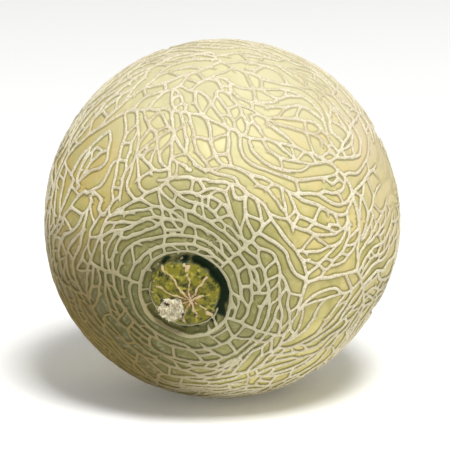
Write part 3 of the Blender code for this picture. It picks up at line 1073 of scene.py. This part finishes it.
def stemMarks(cap, flat, turnAt):
    # inner ring, cracks and bridges of cork, the groove's dark green with painted shade, and the olive
    # cushion
    bent = flat.copy()
    for reach, pitch in zip(stemEnd["bend"], stemEnd["bendPitch"]):
        where = np.stack([flat[:, 0], flat[:, 1], np.zeros(len(flat))], axis=1) / pitch
        for k in range(2):
            bent[:, k] += reach * drift(where, 1.0, (3.3 + 4.1 * k, 1.1, 0.2 + 5.0 * k))
    uneven = drift(where, 0.8, (1.3, 8.1, 4.2))
    away = np.hypot(*bent.T)
    below = fade(-np.sin(turnAt + 0.35), -0.10, 0.50)
    raiseLine(cap, 1.0 - np.abs(away - stemEnd["innerRing"]) / stemEnd["innerRingWidth"], 0.8 * below)
    for run, weight in crackLines():
        gap, along = nearLine(bent, run)
        width = stemEnd["crackWidth"] * (0.70 + 0.5 * along) * (1.0 + 0.7 * uneven)
        raiseLine(cap, 1.0 - gap / width, weight * (0.60 + 0.2 * along) * (1.0 + 0.6 * uneven))
    for angle, weight, lean in stemEnd["bridges"]:
        a, lean = math.radians(angle), math.radians(lean)
        run = np.array([(r * math.cos(a + lean * m), r * math.sin(a + lean * m))
                        for m, r in zip((0.0, 0.5, 1.0), stemEnd["bridgeSpan"])])
        gap, _ = nearLine(bent, run)
        raiseLine(cap, 1.0 - gap / (stemEnd["bridgeWidth"] * (1.0 + 0.8 * uneven)), weight)
    cap["heart"] = bump(np.hypot(*(bent - np.array(stemEnd["star"])).T) / stemEnd["starReach"])
    aim = 0.5 + 0.5 * np.cos(turnAt - math.radians(stemEnd["grooveAim"]))
    narrow, more = stemEnd["grooveReach"]
    deep = bump((away - stemEnd["grooveMiddle"]) / (narrow + more * aim))
    # the groove's dark colour, partly painted shade, strongest towards grooveAim
    cap["deep"] = np.clip(deep * (0.30 + 0.85 * aim * aim + 1.3 * uneven), 0.0, 1.0)
    cap["pad"] = 1.0 - fade(away, *stemEnd["padEdge"])


def scarMarks(cap, away):
    button = 1.0 - np.abs(away - scarEnd["button"]) / scarEnd["buttonWidth"]
    raiseLine(cap, button, scarEnd["buttonStrength"])
    cap["pad"] = 1.0 - fade(away, *scarEnd["padEdge"])


def capTraits(loop, flat, atStem):
    # traits of a cap's points: the inner half of its rim's line, and the marks inside it
    away = np.hypot(*flat.T)
    turnAt = np.arctan2(flat[:, 1], flat[:, 0])
    rim = np.hypot(*(spots[loop][:, :2] * equator).T)
    rimTurn = np.arctan2(spots[loop][:, 1], spots[loop][:, 0])
    order = np.argsort(rimTurn)
    rimAway = np.interp(turnAt, rimTurn[order], rim[order], period=2.0 * math.pi)
    around = np.stack([np.cos(turnAt), np.sin(turnAt), np.zeros(len(flat))], axis=1)
    rimWidth = stemEnd["rimWidth"] * (1.0 + stemEnd["rimVary"] * drift(around, 3.1, (6.4, 2.2, 5.1)))
    cap = {"ridge": 1.0 - (rimAway - away) / rimWidth, "strength": np.ones(len(flat))}
    if atStem:
        stemMarks(cap, flat, turnAt)
    else:
        scarMarks(cap, away)
    cap["ridge"] = np.maximum(cap["ridge"], march["floorRidge"])
    return cap


def addTrait(mesh, name, values):
    trait = mesh.attributes.new(name, "FLOAT", "POINT")
    trait.data.foreach_set("value", values.astype(np.float32))


def addObject(name, data):
    thing = bpy.data.objects.new(name, data)
    bpy.context.scene.collection.objects.link(thing)
    return thing


# Crests, three rings down each line's side, then the floors and the two caps
tree, values = lineTree(spots, strength, lineWidth, links)
count = len(corners)
ringStart = [len(spots) + k * count for k in range(3)]
faces = []
for k in range(count):
    m = after[k]
    faces.append((corners[k], corners[m], ringStart[0] + m, ringStart[0] + k))
    for outer, inner in zip(ringStart, ringStart[1:]):
        faces.append((outer + k, outer + m, inner + m, inner + k))
total = len(spots) + 3 * count
floorWays = []
for (added, triangles), first, end in zip(floors, starts[:-1], starts[1:]):
    ids = list(range(ringStart[2] + first, ringStart[2] + end))
    ids += range(total + len(floorWays), total + len(floorWays) + len(added))
    floorWays += list(added)
    faces += [tuple(ids[v] for v in triangle) for triangle in triangles or [range(end - first)]]
total += len(floorWays)

allWays = [spots, *rings, np.array(floorWays)]
parts = [{"ridge": np.ones(len(spots)), "strength": strength}]
for ring, share in zip(rings, (1.0 - march["shoulder"], 0.0, march["floorRidge"])):
    ringRidge, ringForce = ridgeAt(ring, strength[corners], share, tree, values)
    parts.append({"ridge": ringRidge, "strength": ringForce})
parts.append({"ridge": np.full(len(floorWays), march["floorRidge"]), "strength": np.zeros(len(floorWays))})
for loop in endLoops:
    atStem = spots[loop][:, 2].mean() > 0.0
    rowStep = (stemEnd if atStem else scarEnd)["rowStep"]
    capWays, flat, capFaces = endCap(loop, spots, total, 1.0 if atStem else -1.0, rowStep)
    allWays.append(capWays)
    parts.append(capTraits(loop, flat, atStem))
    faces += capFaces
    total += len(flat)

points, outward = skinPoints(np.concatenate(allWays))
rindMesh = bpy.data.meshes.new("rind")
rindMesh.from_pydata(points, [], [tuple(int(v) for v in f) for f in faces])
for name in ("ridge", "strength", "deep", "pad", "heart"):
    values = np.concatenate([part.get(name, np.zeros(len(part["ridge"]))) for part in parts])
    addTrait(rindMesh, name, np.clip(values, 0.0, 1.2) if name == "strength" else values)
trait = rindMesh.attributes.new("outward", "FLOAT_VECTOR", "POINT")
trait.data.foreach_set("vector", outward.astype(np.float32).ravel())
rindMesh.shade_smooth()
rind = addObject("rind", rindMesh)
print("rind:", len(rindMesh.vertices), "points,", len(rindMesh.polygons), "faces")


# Nodes, written as plain expressions
class Wire:
    # a value on its way from one node to another, in a shader or in Geometry Nodes
    def __init__(self, tree, socket):
        self.tree = tree
        self.socket = socket

    def make(self, kind, settings=None, inputs=None, out=0):
        node = self.tree.nodes.new(kind)
        for name, value in (settings or {}).items():
            if name == "stops":
                ramp = node.color_ramp
                while len(ramp.elements) < len(value):
                    ramp.elements.new(0.5)
                for stop, (at, colour) in zip(ramp.elements, value):
                    stop.position = at
                    stop.color = (*colour, 1.0)
            else:
                setattr(node, name, value)
        for name, value in (inputs or {}).items():
            if isinstance(value, Wire):
                self.tree.links.new(value.socket, node.inputs[name])
            else:
                node.inputs[name].default_value = value
        return Wire(self.tree, node.outputs[out])

    def maths(self, operation, first, second=0.0):
        return self.make("ShaderNodeMath", {"operation": operation}, {0: first, 1: second})

    def __add__(self, other):
        return self.maths("ADD", self, other)

    def __radd__(self, other):
        return self.maths("ADD", other, self)

    def __sub__(self, other):
        return self.maths("SUBTRACT", self, other)

    def __rsub__(self, other):
        return self.maths("SUBTRACT", other, self)

    def __mul__(self, other):
        return self.maths("MULTIPLY", self, other)

    def __rmul__(self, other):
        return self.maths("MULTIPLY", other, self)

    def __truediv__(self, other):
        return self.maths("DIVIDE", self, other)

    def __rtruediv__(self, other):
        return self.maths("DIVIDE", other, self)

    def atLeast(self, other):
        return self.maths("MAXIMUM", self, other)

    def feed(self, shader, name):
        self.tree.links.new(self.socket, shader.inputs[name])

    def rise(self, low, high):
        # smooth step from 0 at low to 1 at high
        return self.make("ShaderNodeMapRange", {"interpolation_type": "SMOOTHSTEP"},
                         {"Value": self, "From Min": low, "From Max": high})

    def blend(self, first, second):
        # colour between two, by this value
        return self.make("ShaderNodeMix", {"data_type": "RGBA"}, {0: self, 6: first, 7: second}, 2)

    def noise(self, where, scale, detail=2.0, roughness=0.5, warp=0.0):
        return self.make("ShaderNodeTexNoise", None,
                         {"Vector": where, "Scale": scale, "Detail": detail,
                          "Roughness": roughness, "Distortion": warp})


def linear(red, green, blue):
    # a colour read off a screen, 0 to 255, as the renderer wants it
    def one(value):
        c = value / 255.0
        return c / 12.92 if c <= 0.04045 else ((c + 0.055) / 1.055) ** 2.4
    return one(red), one(green), one(blue), 1.0


def startTree(name, values):
    # a tree with a named input for each value, and one for the finish
    tree = bpy.data.node_groups.new(name, "GeometryNodeTree")
    face = tree.interface
    face.new_socket("Geometry", in_out="INPUT", socket_type="NodeSocketGeometry")
    for label, value in values.items():
        kind = "NodeSocketInt" if isinstance(value, int) else "NodeSocketFloat"
        face.new_socket(label, in_out="INPUT", socket_type=kind).default_value = value
    face.new_socket("finish", in_out="INPUT", socket_type="NodeSocketMaterial")
    face.new_socket("Geometry", in_out="OUTPUT", socket_type="NodeSocketGeometry")
    start = tree.nodes.new("NodeGroupInput")
    return {socket.name: Wire(tree, socket) for socket in start.outputs if socket.name}


def endTree(wire, finish):
    whole = wire.make("GeometryNodeRealizeInstances", None, {"Geometry": wire})
    done = wire.make("GeometryNodeSetMaterial", None, {"Geometry": whole, "Material": finish})
    end = wire.tree.nodes.new("NodeGroupOutput")
    done.feed(end, "Geometry")
    return wire.tree


def startFinish(name):
    # a new material's tree, its shader, a wire to draw nodes with, and the place on the piece
    material = bpy.data.materials.new(name)
    material.use_nodes = True
    wire = Wire(material.node_tree, None)
    where = wire.make("ShaderNodeTexCoord", out=3)
    return material, material.node_tree.nodes["Principled BSDF"], wire, where


# Raised net, by Geometry Nodes over the flat cells
relief = {
    "net height": 0.00100,
    "flat crest": 0.30,         # share of a line's half width that stays at full height
    "knob height": 0.00030,     # lumps of the cork
    "knob size": 0.0021,
    "pad height": 0.0011,       # lumps of the cushion
    "pad size": 0.0034,
    "cell crown": 0.00016,      # how far the skin bulges between the lines
    "skin unevenness": 0.00010,
    "unevenness scale": 260.0,
    "seed": 3.0,
}


def reliefTree():
    given = startTree("raisedNet", relief)
    wire = given["Geometry"]

    def trait(name):
        return wire.make("GeometryNodeInputNamedAttribute", {"data_type": "FLOAT"}, {"Name": name})

    ridge, force = trait("ridge"), trait("strength")
    rise = ridge.rise(-0.05, 1.0 - given["flat crest"])
    shown = force.rise(0.04, 0.34)
    spot = wire.make("GeometryNodeInputPosition")

    def grain(scale, detail):
        return wire.make("ShaderNodeTexNoise", {"noise_dimensions": "4D"},
                         {"Vector": spot, "W": given["seed"], "Scale": scale, "Detail": detail}) - 0.5

    knobs = grain(1.0 / given["knob size"], 2.0) * 2.0 * given["knob height"] * rise * shown
    crown = (0.0 - ridge).rise(0.0, 0.5) * given["cell crown"]
    uneven = grain(given["unevenness scale"], 2.0) * 2.0 * given["skin unevenness"]
    lumps = grain(1.0 / given["pad size"], 3.0) * given["pad height"] * trait("pad")
    lift = lumps + given["net height"] * (0.45 + 0.55 * force) * shown * rise + knobs + crown + uneven
    outward = wire.make("GeometryNodeInputNamedAttribute", {"data_type": "FLOAT_VECTOR"},
                        {"Name": "outward"})
    offset = wire.make("ShaderNodeVectorMath", {"operation": "SCALE"}, {0: outward, "Scale": lift})
    raised = wire.make("GeometryNodeSetPosition", None, {"Geometry": given["Geometry"], "Offset": offset})
    marked = wire.make("GeometryNodeStoreNamedAttribute", {"data_type": "FLOAT", "domain": "POINT"},
                       {"Geometry": raised, "Name": "cork", "Value": rise * shown})
    return endTree(marked, given["finish"])


def applyTree(piece, tree, values):
    # sets the inputs by their identifiers, evaluates, and keeps the result as a plain mesh
    modifier = piece.modifiers.new(tree.name, "NODES")
    modifier.node_group = tree
    for item in tree.interface.items_tree:
        if item.item_type == "SOCKET" and item.in_out == "INPUT" and item.name in values:
            modifier[item.identifier] = values[item.name]
    bpy.context.view_layer.update()
    shown = piece.evaluated_get(bpy.context.evaluated_depsgraph_get())
    mesh = bpy.data.meshes.new_from_object(shown)
    piece.modifiers.clear()
    old = piece.data
    piece.data = mesh
    bpy.data.meshes.remove(old)
    mesh.name = piece.name


# Finish of the rind
finish = {
    "skinOlive": (178, 168, 98),
    "skinYellow": (218, 205, 136),
    # pale flecks, and painted light where the skin faces up
    "skinPaleAndLit": (216, 210, 174),
    # dark skin by the lines, partly painted shade at their foot
    "skinEdgeAndShade": (104, 98, 44),
    "skinGreen": (70, 80, 36),
    "skinPeach": (224, 204, 174),
    "skinOrange": (206, 182, 124),
    # painted shadow on the lower left side
    "skinShadowBrown": (78, 62, 12),
    "skinWarm": (186, 156, 78),
    "corkPale": (232, 225, 200),
    "corkTan": (190, 176, 140),
    "corkFissure": (150, 120, 84),
    "corkStem": (168, 163, 127),
    # painted shadow on the cork at the lower left
    "corkShadowBrown": (120, 102, 46),
    "corkPad": (204, 178, 136),
    # dark skin by the lines near the stem, partly painted shade at their foot
    "stemEdgeAndShade": (46, 56, 20),
    # dark green of the groove, partly painted shade
    "grooveDarkAndShade": (20, 38, 16),
    "padDark": (44, 50, 14),
    "padOlive": (122, 116, 26),
    "padBright": (172, 162, 62),
    "starBrown": (128, 78, 52),
}


def rindWires(wire, where):
    # what the finish reads: the traits, noises of several sizes, and masks by direction
    centred = wire.make("ShaderNodeVectorMath", {"operation": "SUBTRACT"}, {0: where, 1: heartSpot})
    way = wire.make("ShaderNodeVectorMath", {"operation": "NORMALIZE"}, {0: centred})

    def toward(aim, low, high):
        # 1 where the skin faces a way, 0 where it faces far from it
        dot = wire.make("ShaderNodeVectorMath", {"operation": "DOT_PRODUCT"},
                        {0: way, 1: tuple(float(v) for v in aim)}, 1)
        return dot.rise(low, high)

    def seen(x, y):
        return seenWay(x, y) @ lying.T

    wires = {name: wire.make("ShaderNodeAttribute", {"attribute_name": name}, None, 2)
             for name in ("cork", "ridge", "strength", "deep", "pad", "heart")}
    wires["broad"] = wire.noise(where, 22.0, 3.0)
    wires["patchy"] = wire.noise(where, 85.0, 3.0, 0.6)
    wires["fine"] = wire.noise(where, 520.0, 3.0, 0.6)
    wires["grain"] = wire.noise(where, 1500.0, 2.0, 0.6)
    wires["lumpy"] = wire.noise(where, 330.0, 3.0, 0.6)
    wires["bright"] = wire.noise(where, 460.0, 2.0, 0.5)
    stemWay = np.array((0.0, 0.0, 1.0)) @ lying.T
    # painted light: paler where the skin faces up
    wires["upper"] = toward((0.10, -0.05, 1.0), 0.10, 0.95)
    # painted shadow on the lower left side
    wires["lower"] = toward(seen(-0.66, -0.66), 0.68, 1.0)
    wires["orange"] = toward(seen(0.72, 0.10), 0.72, 0.99)
    wires["peach"] = toward(seen(0.93, 0.28), 0.80, 0.99)
    wires["warm"] = toward(seen(-0.92, -0.05), 0.60, 0.98)
    wires["nearStem"] = toward(stemWay, 0.80, 0.97)
    wires["stemGreen"] = toward(stemWay, 0.74, 0.97) * (0.65 + 0.7 * (wires["patchy"] - 0.5))
    return wires


def skinTone(wires, colour):
    # the smooth skin between the lines, with its patches, painted light on the top, painted shadow at the
    # lower left, a dark edge by the lines that is partly painted shade, and the groove's dark green with
    # painted shade
    patchy, broad, fine = wires["patchy"], wires["broad"], wires["fine"]
    upper, stemGreen = wires["upper"], wires["stemGreen"]
    skin = patchy.rise(0.30, 0.70).blend(colour["skinOlive"], colour["skinYellow"])
    # painted light on the upper side
    skin = (upper * (0.55 + 0.45 * broad)).blend(skin, colour["skinPaleAndLit"])
    skin = (wires["orange"] * patchy.rise(0.42, 0.62) * 0.45).blend(skin, colour["skinOrange"])
    skin = (wires["peach"] * broad.rise(0.25, 0.6) * 0.6).blend(skin, colour["skinPeach"])
    skin = (wires["warm"] * patchy.rise(0.30, 0.65) * 0.7).blend(skin, colour["skinWarm"])
    # painted shadow on the lower left
    skin = (wires["lower"] * 0.95).blend(skin, colour["skinShadowBrown"])
    skin = stemGreen.blend(skin, colour["skinGreen"])
    skin = (fine.rise(0.45, 0.75) * 0.22).blend(skin, colour["skinPaleAndLit"])
    # dark edge beside the lines, partly painted shade at their foot, weaker where the top is painted lit
    edge = (wires["ridge"] + 0.3 * (fine - 0.5)).rise(-0.48, -0.02) * (0.85 - 0.45 * upper)
    edge = edge * wires["strength"].rise(0.04, 0.34)
    skin = (edge * 0.72).blend(skin, stemGreen.blend(colour["skinEdgeAndShade"], colour["stemEdgeAndShade"]))
    # dark green in the groove, partly painted shade
    return wires["deep"].rise(0.05, 0.7).blend(skin, colour["grooveDarkAndShade"])


def cushionTone(wires, colour):
    cushion = wires["lumpy"].rise(0.36, 0.56).blend(colour["padDark"], colour["padOlive"])
    cushion = wires["bright"].rise(0.50, 0.72).blend(cushion, colour["padBright"])
    return (wires["heart"] * (0.5 + wires["fine"])).blend(cushion, colour["starBrown"])


def corkTone(wires, colour):
    # pale cork, tan where a line is weak, with fissures along the crests, and painted shadow at the lower
    # left
    cork = (wires["grain"].rise(0.35, 0.75) * 0.8).blend(colour["corkPale"], colour["corkTan"])
    weak = (1.15 - wires["strength"]).rise(0.0, 0.9) * wires["patchy"].rise(0.35, 0.60)
    cork = (weak * 0.7).blend(cork, colour["corkTan"])
    fissure = wires["ridge"].rise(0.70, 0.98) * wires["fine"].rise(0.52, 0.66)
    cork = (fissure * 0.55).blend(cork, colour["corkFissure"])
    cork = (wires["nearStem"] * 0.75).blend(cork, colour["corkStem"])
    cork = (wires["pad"] * 0.8).blend(cork, colour["corkPad"])
    # painted shadow on the cork at the lower left
    return (wires["lower"] * 0.95).blend(cork, colour["corkShadowBrown"])


def rindFinish():
    material, shader, wire, where = startFinish("nettedRind")
    colour = {name: linear(*value) for name, value in finish.items()}
    wires = rindWires(wire, where)
    fine = wires["fine"]
    skin = wires["pad"].blend(skinTone(wires, colour), cushionTone(wires, colour))
    mask = (wires["cork"] + (fine - 0.5) * 0.5).rise(0.38, 0.62)
    mask.blend(skin, corkTone(wires, colour)).feed(shader, "Base Color")
    rough = 0.50 + (0.36 * mask).atLeast(0.40 * wires["deep"]) + 0.10 * (fine - 0.5)
    rough.feed(shader, "Roughness")
    height = mask * (0.35 + fine * 0.9 + wires["grain"] * 0.5) + (1.0 - mask) * fine * 0.35
    bumps = wire.make("ShaderNodeBump", None,
                      {"Strength": 0.55, "Distance": 0.00035, "Height": height})
    bumps.feed(shader, "Normal")
    shader.inputs["Specular IOR Level"].default_value = 0.26
    return material


rindMaterial = rindFinish()
applyTree(rind, reliefTree(), {**relief, "finish": rindMaterial})


def readPoints(mesh):
    flat = np.zeros(len(mesh.vertices) * 3, np.float32)
    mesh.vertices.foreach_get("co", flat)
    return flat.reshape(-1, 3)


def settle(piece):
    # nothing lies below the floor or outside the solid's box
    points = np.clip(readPoints(piece.data), np.array(cadLow), np.array(cadHigh))
    piece.data.vertices.foreach_set("co", points.astype(np.float32).ravel())
    piece.data.update()


def bakeMap(piece):
    # own map of six charts, one for each side of a cube round the fruit
    mesh = piece.data
    ways = readPoints(mesh) - np.array(heartSpot, np.float32)
    corner = np.zeros(len(mesh.loops), np.int32)
    mesh.loops.foreach_get("vertex_index", corner)
    sides = np.zeros(len(mesh.polygons), np.int32)
    mesh.polygons.foreach_get("loop_total", sides)
    face = np.repeat(np.arange(len(sides)), sides)
    middle = np.zeros((len(sides), 3))
    np.add.at(middle, face, ways[corner])
    axis = np.abs(middle).argmax(axis=1)
    sign = np.sign(middle[np.arange(len(sides)), axis])[face]
    chart = 2 * axis[face] + (sign < 0.0)
    axis = axis[face]
    every = np.arange(len(corner))
    here = ways[corner]
    depth = np.abs(here[every, axis])
    wide = np.arctan2(here[every, (axis + 1) % 3] * sign, depth) * 4.0 / math.pi
    high = np.arctan2(here[every, (axis + 2) % 3], depth) * 4.0 / math.pi
    fill = 0.5 * 0.90           # leaves a margin round each chart
    uv = np.stack([(chart % 3 + 0.5 + fill * wide) / 3.0,
                   (chart // 3 + 0.5 + fill * high) / 2.0], axis=1)
    layer = mesh.uv_layers.new(name="OFBake")
    layer.data.foreach_set("uv", uv.astype(np.float32).ravel())


settle(rind)
bakeMap(rind)
print("net raised:", len(rind.data.vertices), "points,",
      sum(len(p.vertices) - 2 for p in rind.data.polygons), "triangles")
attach(rind, "root")
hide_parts("melon")


# Dry stub of the stalk on the cushion, with broken fibres
stub = {
    "at": (-0.0050, -0.0056),
    "radius": 0.0041,
    "long": 1.18,               # how much longer than wide
    "turn": 35.0,
    "height": 0.00150,
    "rough": 0.00085,
    "root": 0.0016,
    "sides": 56,
    "rows": 14,
    "hollow": (-0.0016, 0.0017),
    "hollowReach": 0.0017,
    "hollowDepth": 0.0019,
    "pale": (240, 234, 208),
    "tan": (196, 182, 146),
    "grey": (96, 92, 84),
    # painted shade at the stub's base and in its hollow
    "foot": (52, 42, 30),
}
fibres = {
    "density": 3.2e6,
    "length": 0.00095,
    "thickness": 0.00016,
    "lean": 0.9,
    "seed": 4,
}


def stubMesh():
    # a closed button with a ragged outline, a rough top and a hollow in it
    x, y = stub["at"][0] / equator, stub["at"][1] / equator
    foot, out = skinPoints(np.array([[x, y, math.sqrt(1.0 - x * x - y * y)]]))
    foot, out = foot[0], out[0]
    turn = math.radians(stub["turn"])
    right = unit(np.array((1.0, 0.0, 0.0)) - out * out[0])
    up = np.cross(out, right)
    count = stub["sides"]
    points, lift = [], []
    rows = [(0.96, -stub["root"], 0.0), (1.04, -0.0002, 0.1), (1.02, 0.45 * stub["height"], 0.4),
            (0.97, 0.85 * stub["height"], 0.8)]
    rows += [(0.97 * (1.0 - k / stub["rows"]), stub["height"], 1.0) for k in range(1, stub["rows"])]
    for share, height, top in rows + [(0.0, stub["height"], 1.0)]:
        for k in range(count if share > 0.0 else 1):
            a = 2.0 * math.pi * k / count
            edge = 1.0 + 0.30 * noise.noise(Vector((1.6 * math.cos(a), 1.6 * math.sin(a), 2.7)))
            edge += 0.13 * noise.noise(Vector((6.0 * math.cos(a), 6.0 * math.sin(a), 5.1)))
            u = share * edge * stub["radius"] * stub["long"] * math.cos(a)
            v = share * edge * stub["radius"] * math.sin(a)
            u, v = u * math.cos(turn) - v * math.sin(turn), u * math.sin(turn) + v * math.cos(turn)
            bumpy = noise.noise(Vector((u, v, 0.0)) * 900.0)
            bumpy += 0.6 * noise.noise(Vector((u, v, 0.001)) * 2300.0)
            z = height + top * stub["rough"] * bumpy
            gap = math.hypot(u - stub["hollow"][0], v - stub["hollow"][1]) / stub["hollowReach"]
            z -= top * stub["hollowDepth"] * float(bump(np.array(gap)))
            points.append(foot + right * u + up * v + out * z)
            lift.append((z / stub["height"], top))
    faces = [tuple(reversed(range(count)))]
    for r in range(len(rows) - 1):
        for k in range(count):
            m = (k + 1) % count
            faces.append((r * count + k, r * count + m, (r + 1) * count + m, (r + 1) * count + k))
    last = (len(rows) - 1) * count
    faces += [(last + k, last + (k + 1) % count, last + count) for k in range(count)]
    mesh = bpy.data.meshes.new("stub")
    mesh.from_pydata(points, [], faces)
    addTrait(mesh, "lift", np.array([v[0] for v in lift]))
    addTrait(mesh, "top", np.array([v[1] for v in lift]))
    mesh.shade_smooth()
    return mesh


def fibreTree():
    # short cones scattered over the stub's top, each leaning its own way
    given = startTree("brokenFibres", fibres)
    wire = given["Geometry"]
    top = wire.make("GeometryNodeInputNamedAttribute", {"data_type": "FLOAT"}, {"Name": "top"})
    chosen = wire.make("FunctionNodeCompare", {"operation": "GREATER_THAN"}, {0: top, 1: 0.6})
    scatter = wire.make("GeometryNodeDistributePointsOnFaces", None,
                        {"Mesh": wire, "Selection": chosen, "Density": given["density"],
                         "Seed": given["seed"]})
    facing = Wire(tree, scatter.socket.node.outputs["Rotation"])
    fibre = wire.make("GeometryNodeMeshCone", None,
                      {"Vertices": 5, "Radius Top": given["thickness"] * 0.35,
                       "Radius Bottom": given["thickness"], "Depth": given["length"]})
    lean = wire.make("FunctionNodeRandomValue", {"data_type": "FLOAT_VECTOR"},
                     {"Seed": given["seed"], 0: (-1.0, -1.0, -1.0), 1: (1.0, 1.0, 1.0)})
    lean = wire.make("ShaderNodeVectorMath", {"operation": "SCALE"}, {0: lean, "Scale": given["lean"]})
    lean = wire.make("FunctionNodeEulerToRotation", None, {0: lean})
    facing = wire.make("FunctionNodeRotateRotation", {"rotation_space": "LOCAL"}, {0: facing, 1: lean})
    size = wire.make("FunctionNodeRandomValue", {"data_type": "FLOAT"},
                     {"Seed": given["seed"], 2: 0.45, 3: 1.1}, 1)
    placed = wire.make("GeometryNodeInstanceOnPoints", None,
                       {"Points": scatter, "Instance": fibre, "Rotation": facing, "Scale": size})
    joined = wire.make("GeometryNodeJoinGeometry", None, {"Geometry": wire})
    placed.feed(joined.socket.node, 0)
    return endTree(joined, given["finish"])


def stubFinish():
    material, shader, wire, where = startFinish("dryStub")
    lift = wire.make("ShaderNodeAttribute", {"attribute_name": "lift"}, None, 2)
    grain = wire.noise(where, 800.0, 3.0, 0.55)
    patchy = wire.noise(where, 270.0, 2.0, 0.5, 0.6)
    tone = grain.rise(0.35, 0.70).blend(linear(*stub["pale"]), linear(*stub["tan"]))
    tone = patchy.rise(0.52, 0.68).blend(tone, linear(*stub["grey"]))
    # painted shade: darker low on the stub, at its base and in its hollow
    low = 1.0 - lift.rise(0.15, 0.85)
    tone = (low * 0.9).blend(tone, linear(*stub["foot"]))
    tone.feed(shader, "Base Color")
    bumps = wire.make("ShaderNodeBump", None, {"Strength": 0.7, "Distance": 0.0003, "Height": grain})
    bumps.feed(shader, "Normal")
    shader.inputs["Roughness"].default_value = 0.9
    shader.inputs["Specular IOR Level"].default_value = 0.2
    return material


stubMaterial = stubFinish()
stubPiece = addObject("stub", stubMesh())
applyTree(stubPiece, fibreTree(), {**fibres, "finish": stubMaterial})
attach(stubPiece, "root")
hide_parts("melon")
print("stub:", len(stubPiece.data.polygons), "faces")


# Floor, lights and camera
studio = {
    "floorSize": 6.0,
    "floorColour": (250, 250, 248),
    "floorGlow": 0.10,
    "worldStrength": 0.36,
    "keyPlace": (0.75, -1.15, 2.8),
    "keySize": 0.9,
    "keyPower": 91.0,
    "fillPlace": (-1.6, -1.6, 0.9),
    "fillSize": 1.5,
    "fillPower": 2.0,
    "lightAim": (0.0, 0.0, 0.06),
    "distance": 1.10,
    "target": (0.0005, 0.0, 0.0652),
    "lens": 222.0,
}


def makeFloor():
    material = bpy.data.materials.new("paleFloor")
    material.use_nodes = True
    shader = material.node_tree.nodes["Principled BSDF"]
    shader.inputs["Base Color"].default_value = linear(*studio["floorColour"])
    shader.inputs["Roughness"].default_value = 0.85
    shader.inputs["Emission Color"].default_value = linear(*studio["floorColour"])
    shader.inputs["Emission Strength"].default_value = studio["floorGlow"]
    half = studio["floorSize"] / 2.0
    mesh = bpy.data.meshes.new("floor")
    corners = [(-half, -half, 0.0), (half, -half, 0.0), (half, half, 0.0), (-half, half, 0.0)]
    mesh.from_pydata(corners, [], [(0, 1, 2, 3)])
    mesh.materials.append(material)
    floor = addObject("floor", mesh)


def addLight(name, spot, size, power):
    data = bpy.data.lights.new(name, "AREA")
    data.size = size
    data.energy = power
    lamp = addObject(name, data)
    lamp.location = spot
    toFruit = Vector(studio["lightAim"]) - Vector(spot)
    lamp.rotation_euler = toFruit.to_track_quat("-Z", "Y").to_euler()


def makeCamera():
    a, e = math.radians(look["azimuth"]), math.radians(look["elevation"])
    back = Vector((math.sin(a) * math.cos(e), -math.cos(a) * math.cos(e), math.sin(e)))
    data = bpy.data.cameras.new("camera")
    data.lens = studio["lens"]
    data.clip_end = 50.0
    camera = addObject("camera", data)
    camera.location = Vector(studio["target"]) + back * studio["distance"]
    camera.rotation_euler = (-back).to_track_quat("-Z", "Y").to_euler()
    bpy.context.scene.camera = camera


makeFloor()
addLight("key", studio["keyPlace"], studio["keySize"], studio["keyPower"])
addLight("fill", studio["fillPlace"], studio["fillSize"], studio["fillPower"])
world = bpy.data.worlds.new("studio")
world.use_nodes = True
world.node_tree.nodes["Background"].inputs["Color"].default_value = (1.0, 1.0, 1.0, 1.0)
world.node_tree.nodes["Background"].inputs["Strength"].default_value = studio["worldStrength"]
bpy.context.scene.world = world
bpy.context.scene.view_settings.view_transform = "Standard"
makeCamera()
print("floor, lights and camera in place")
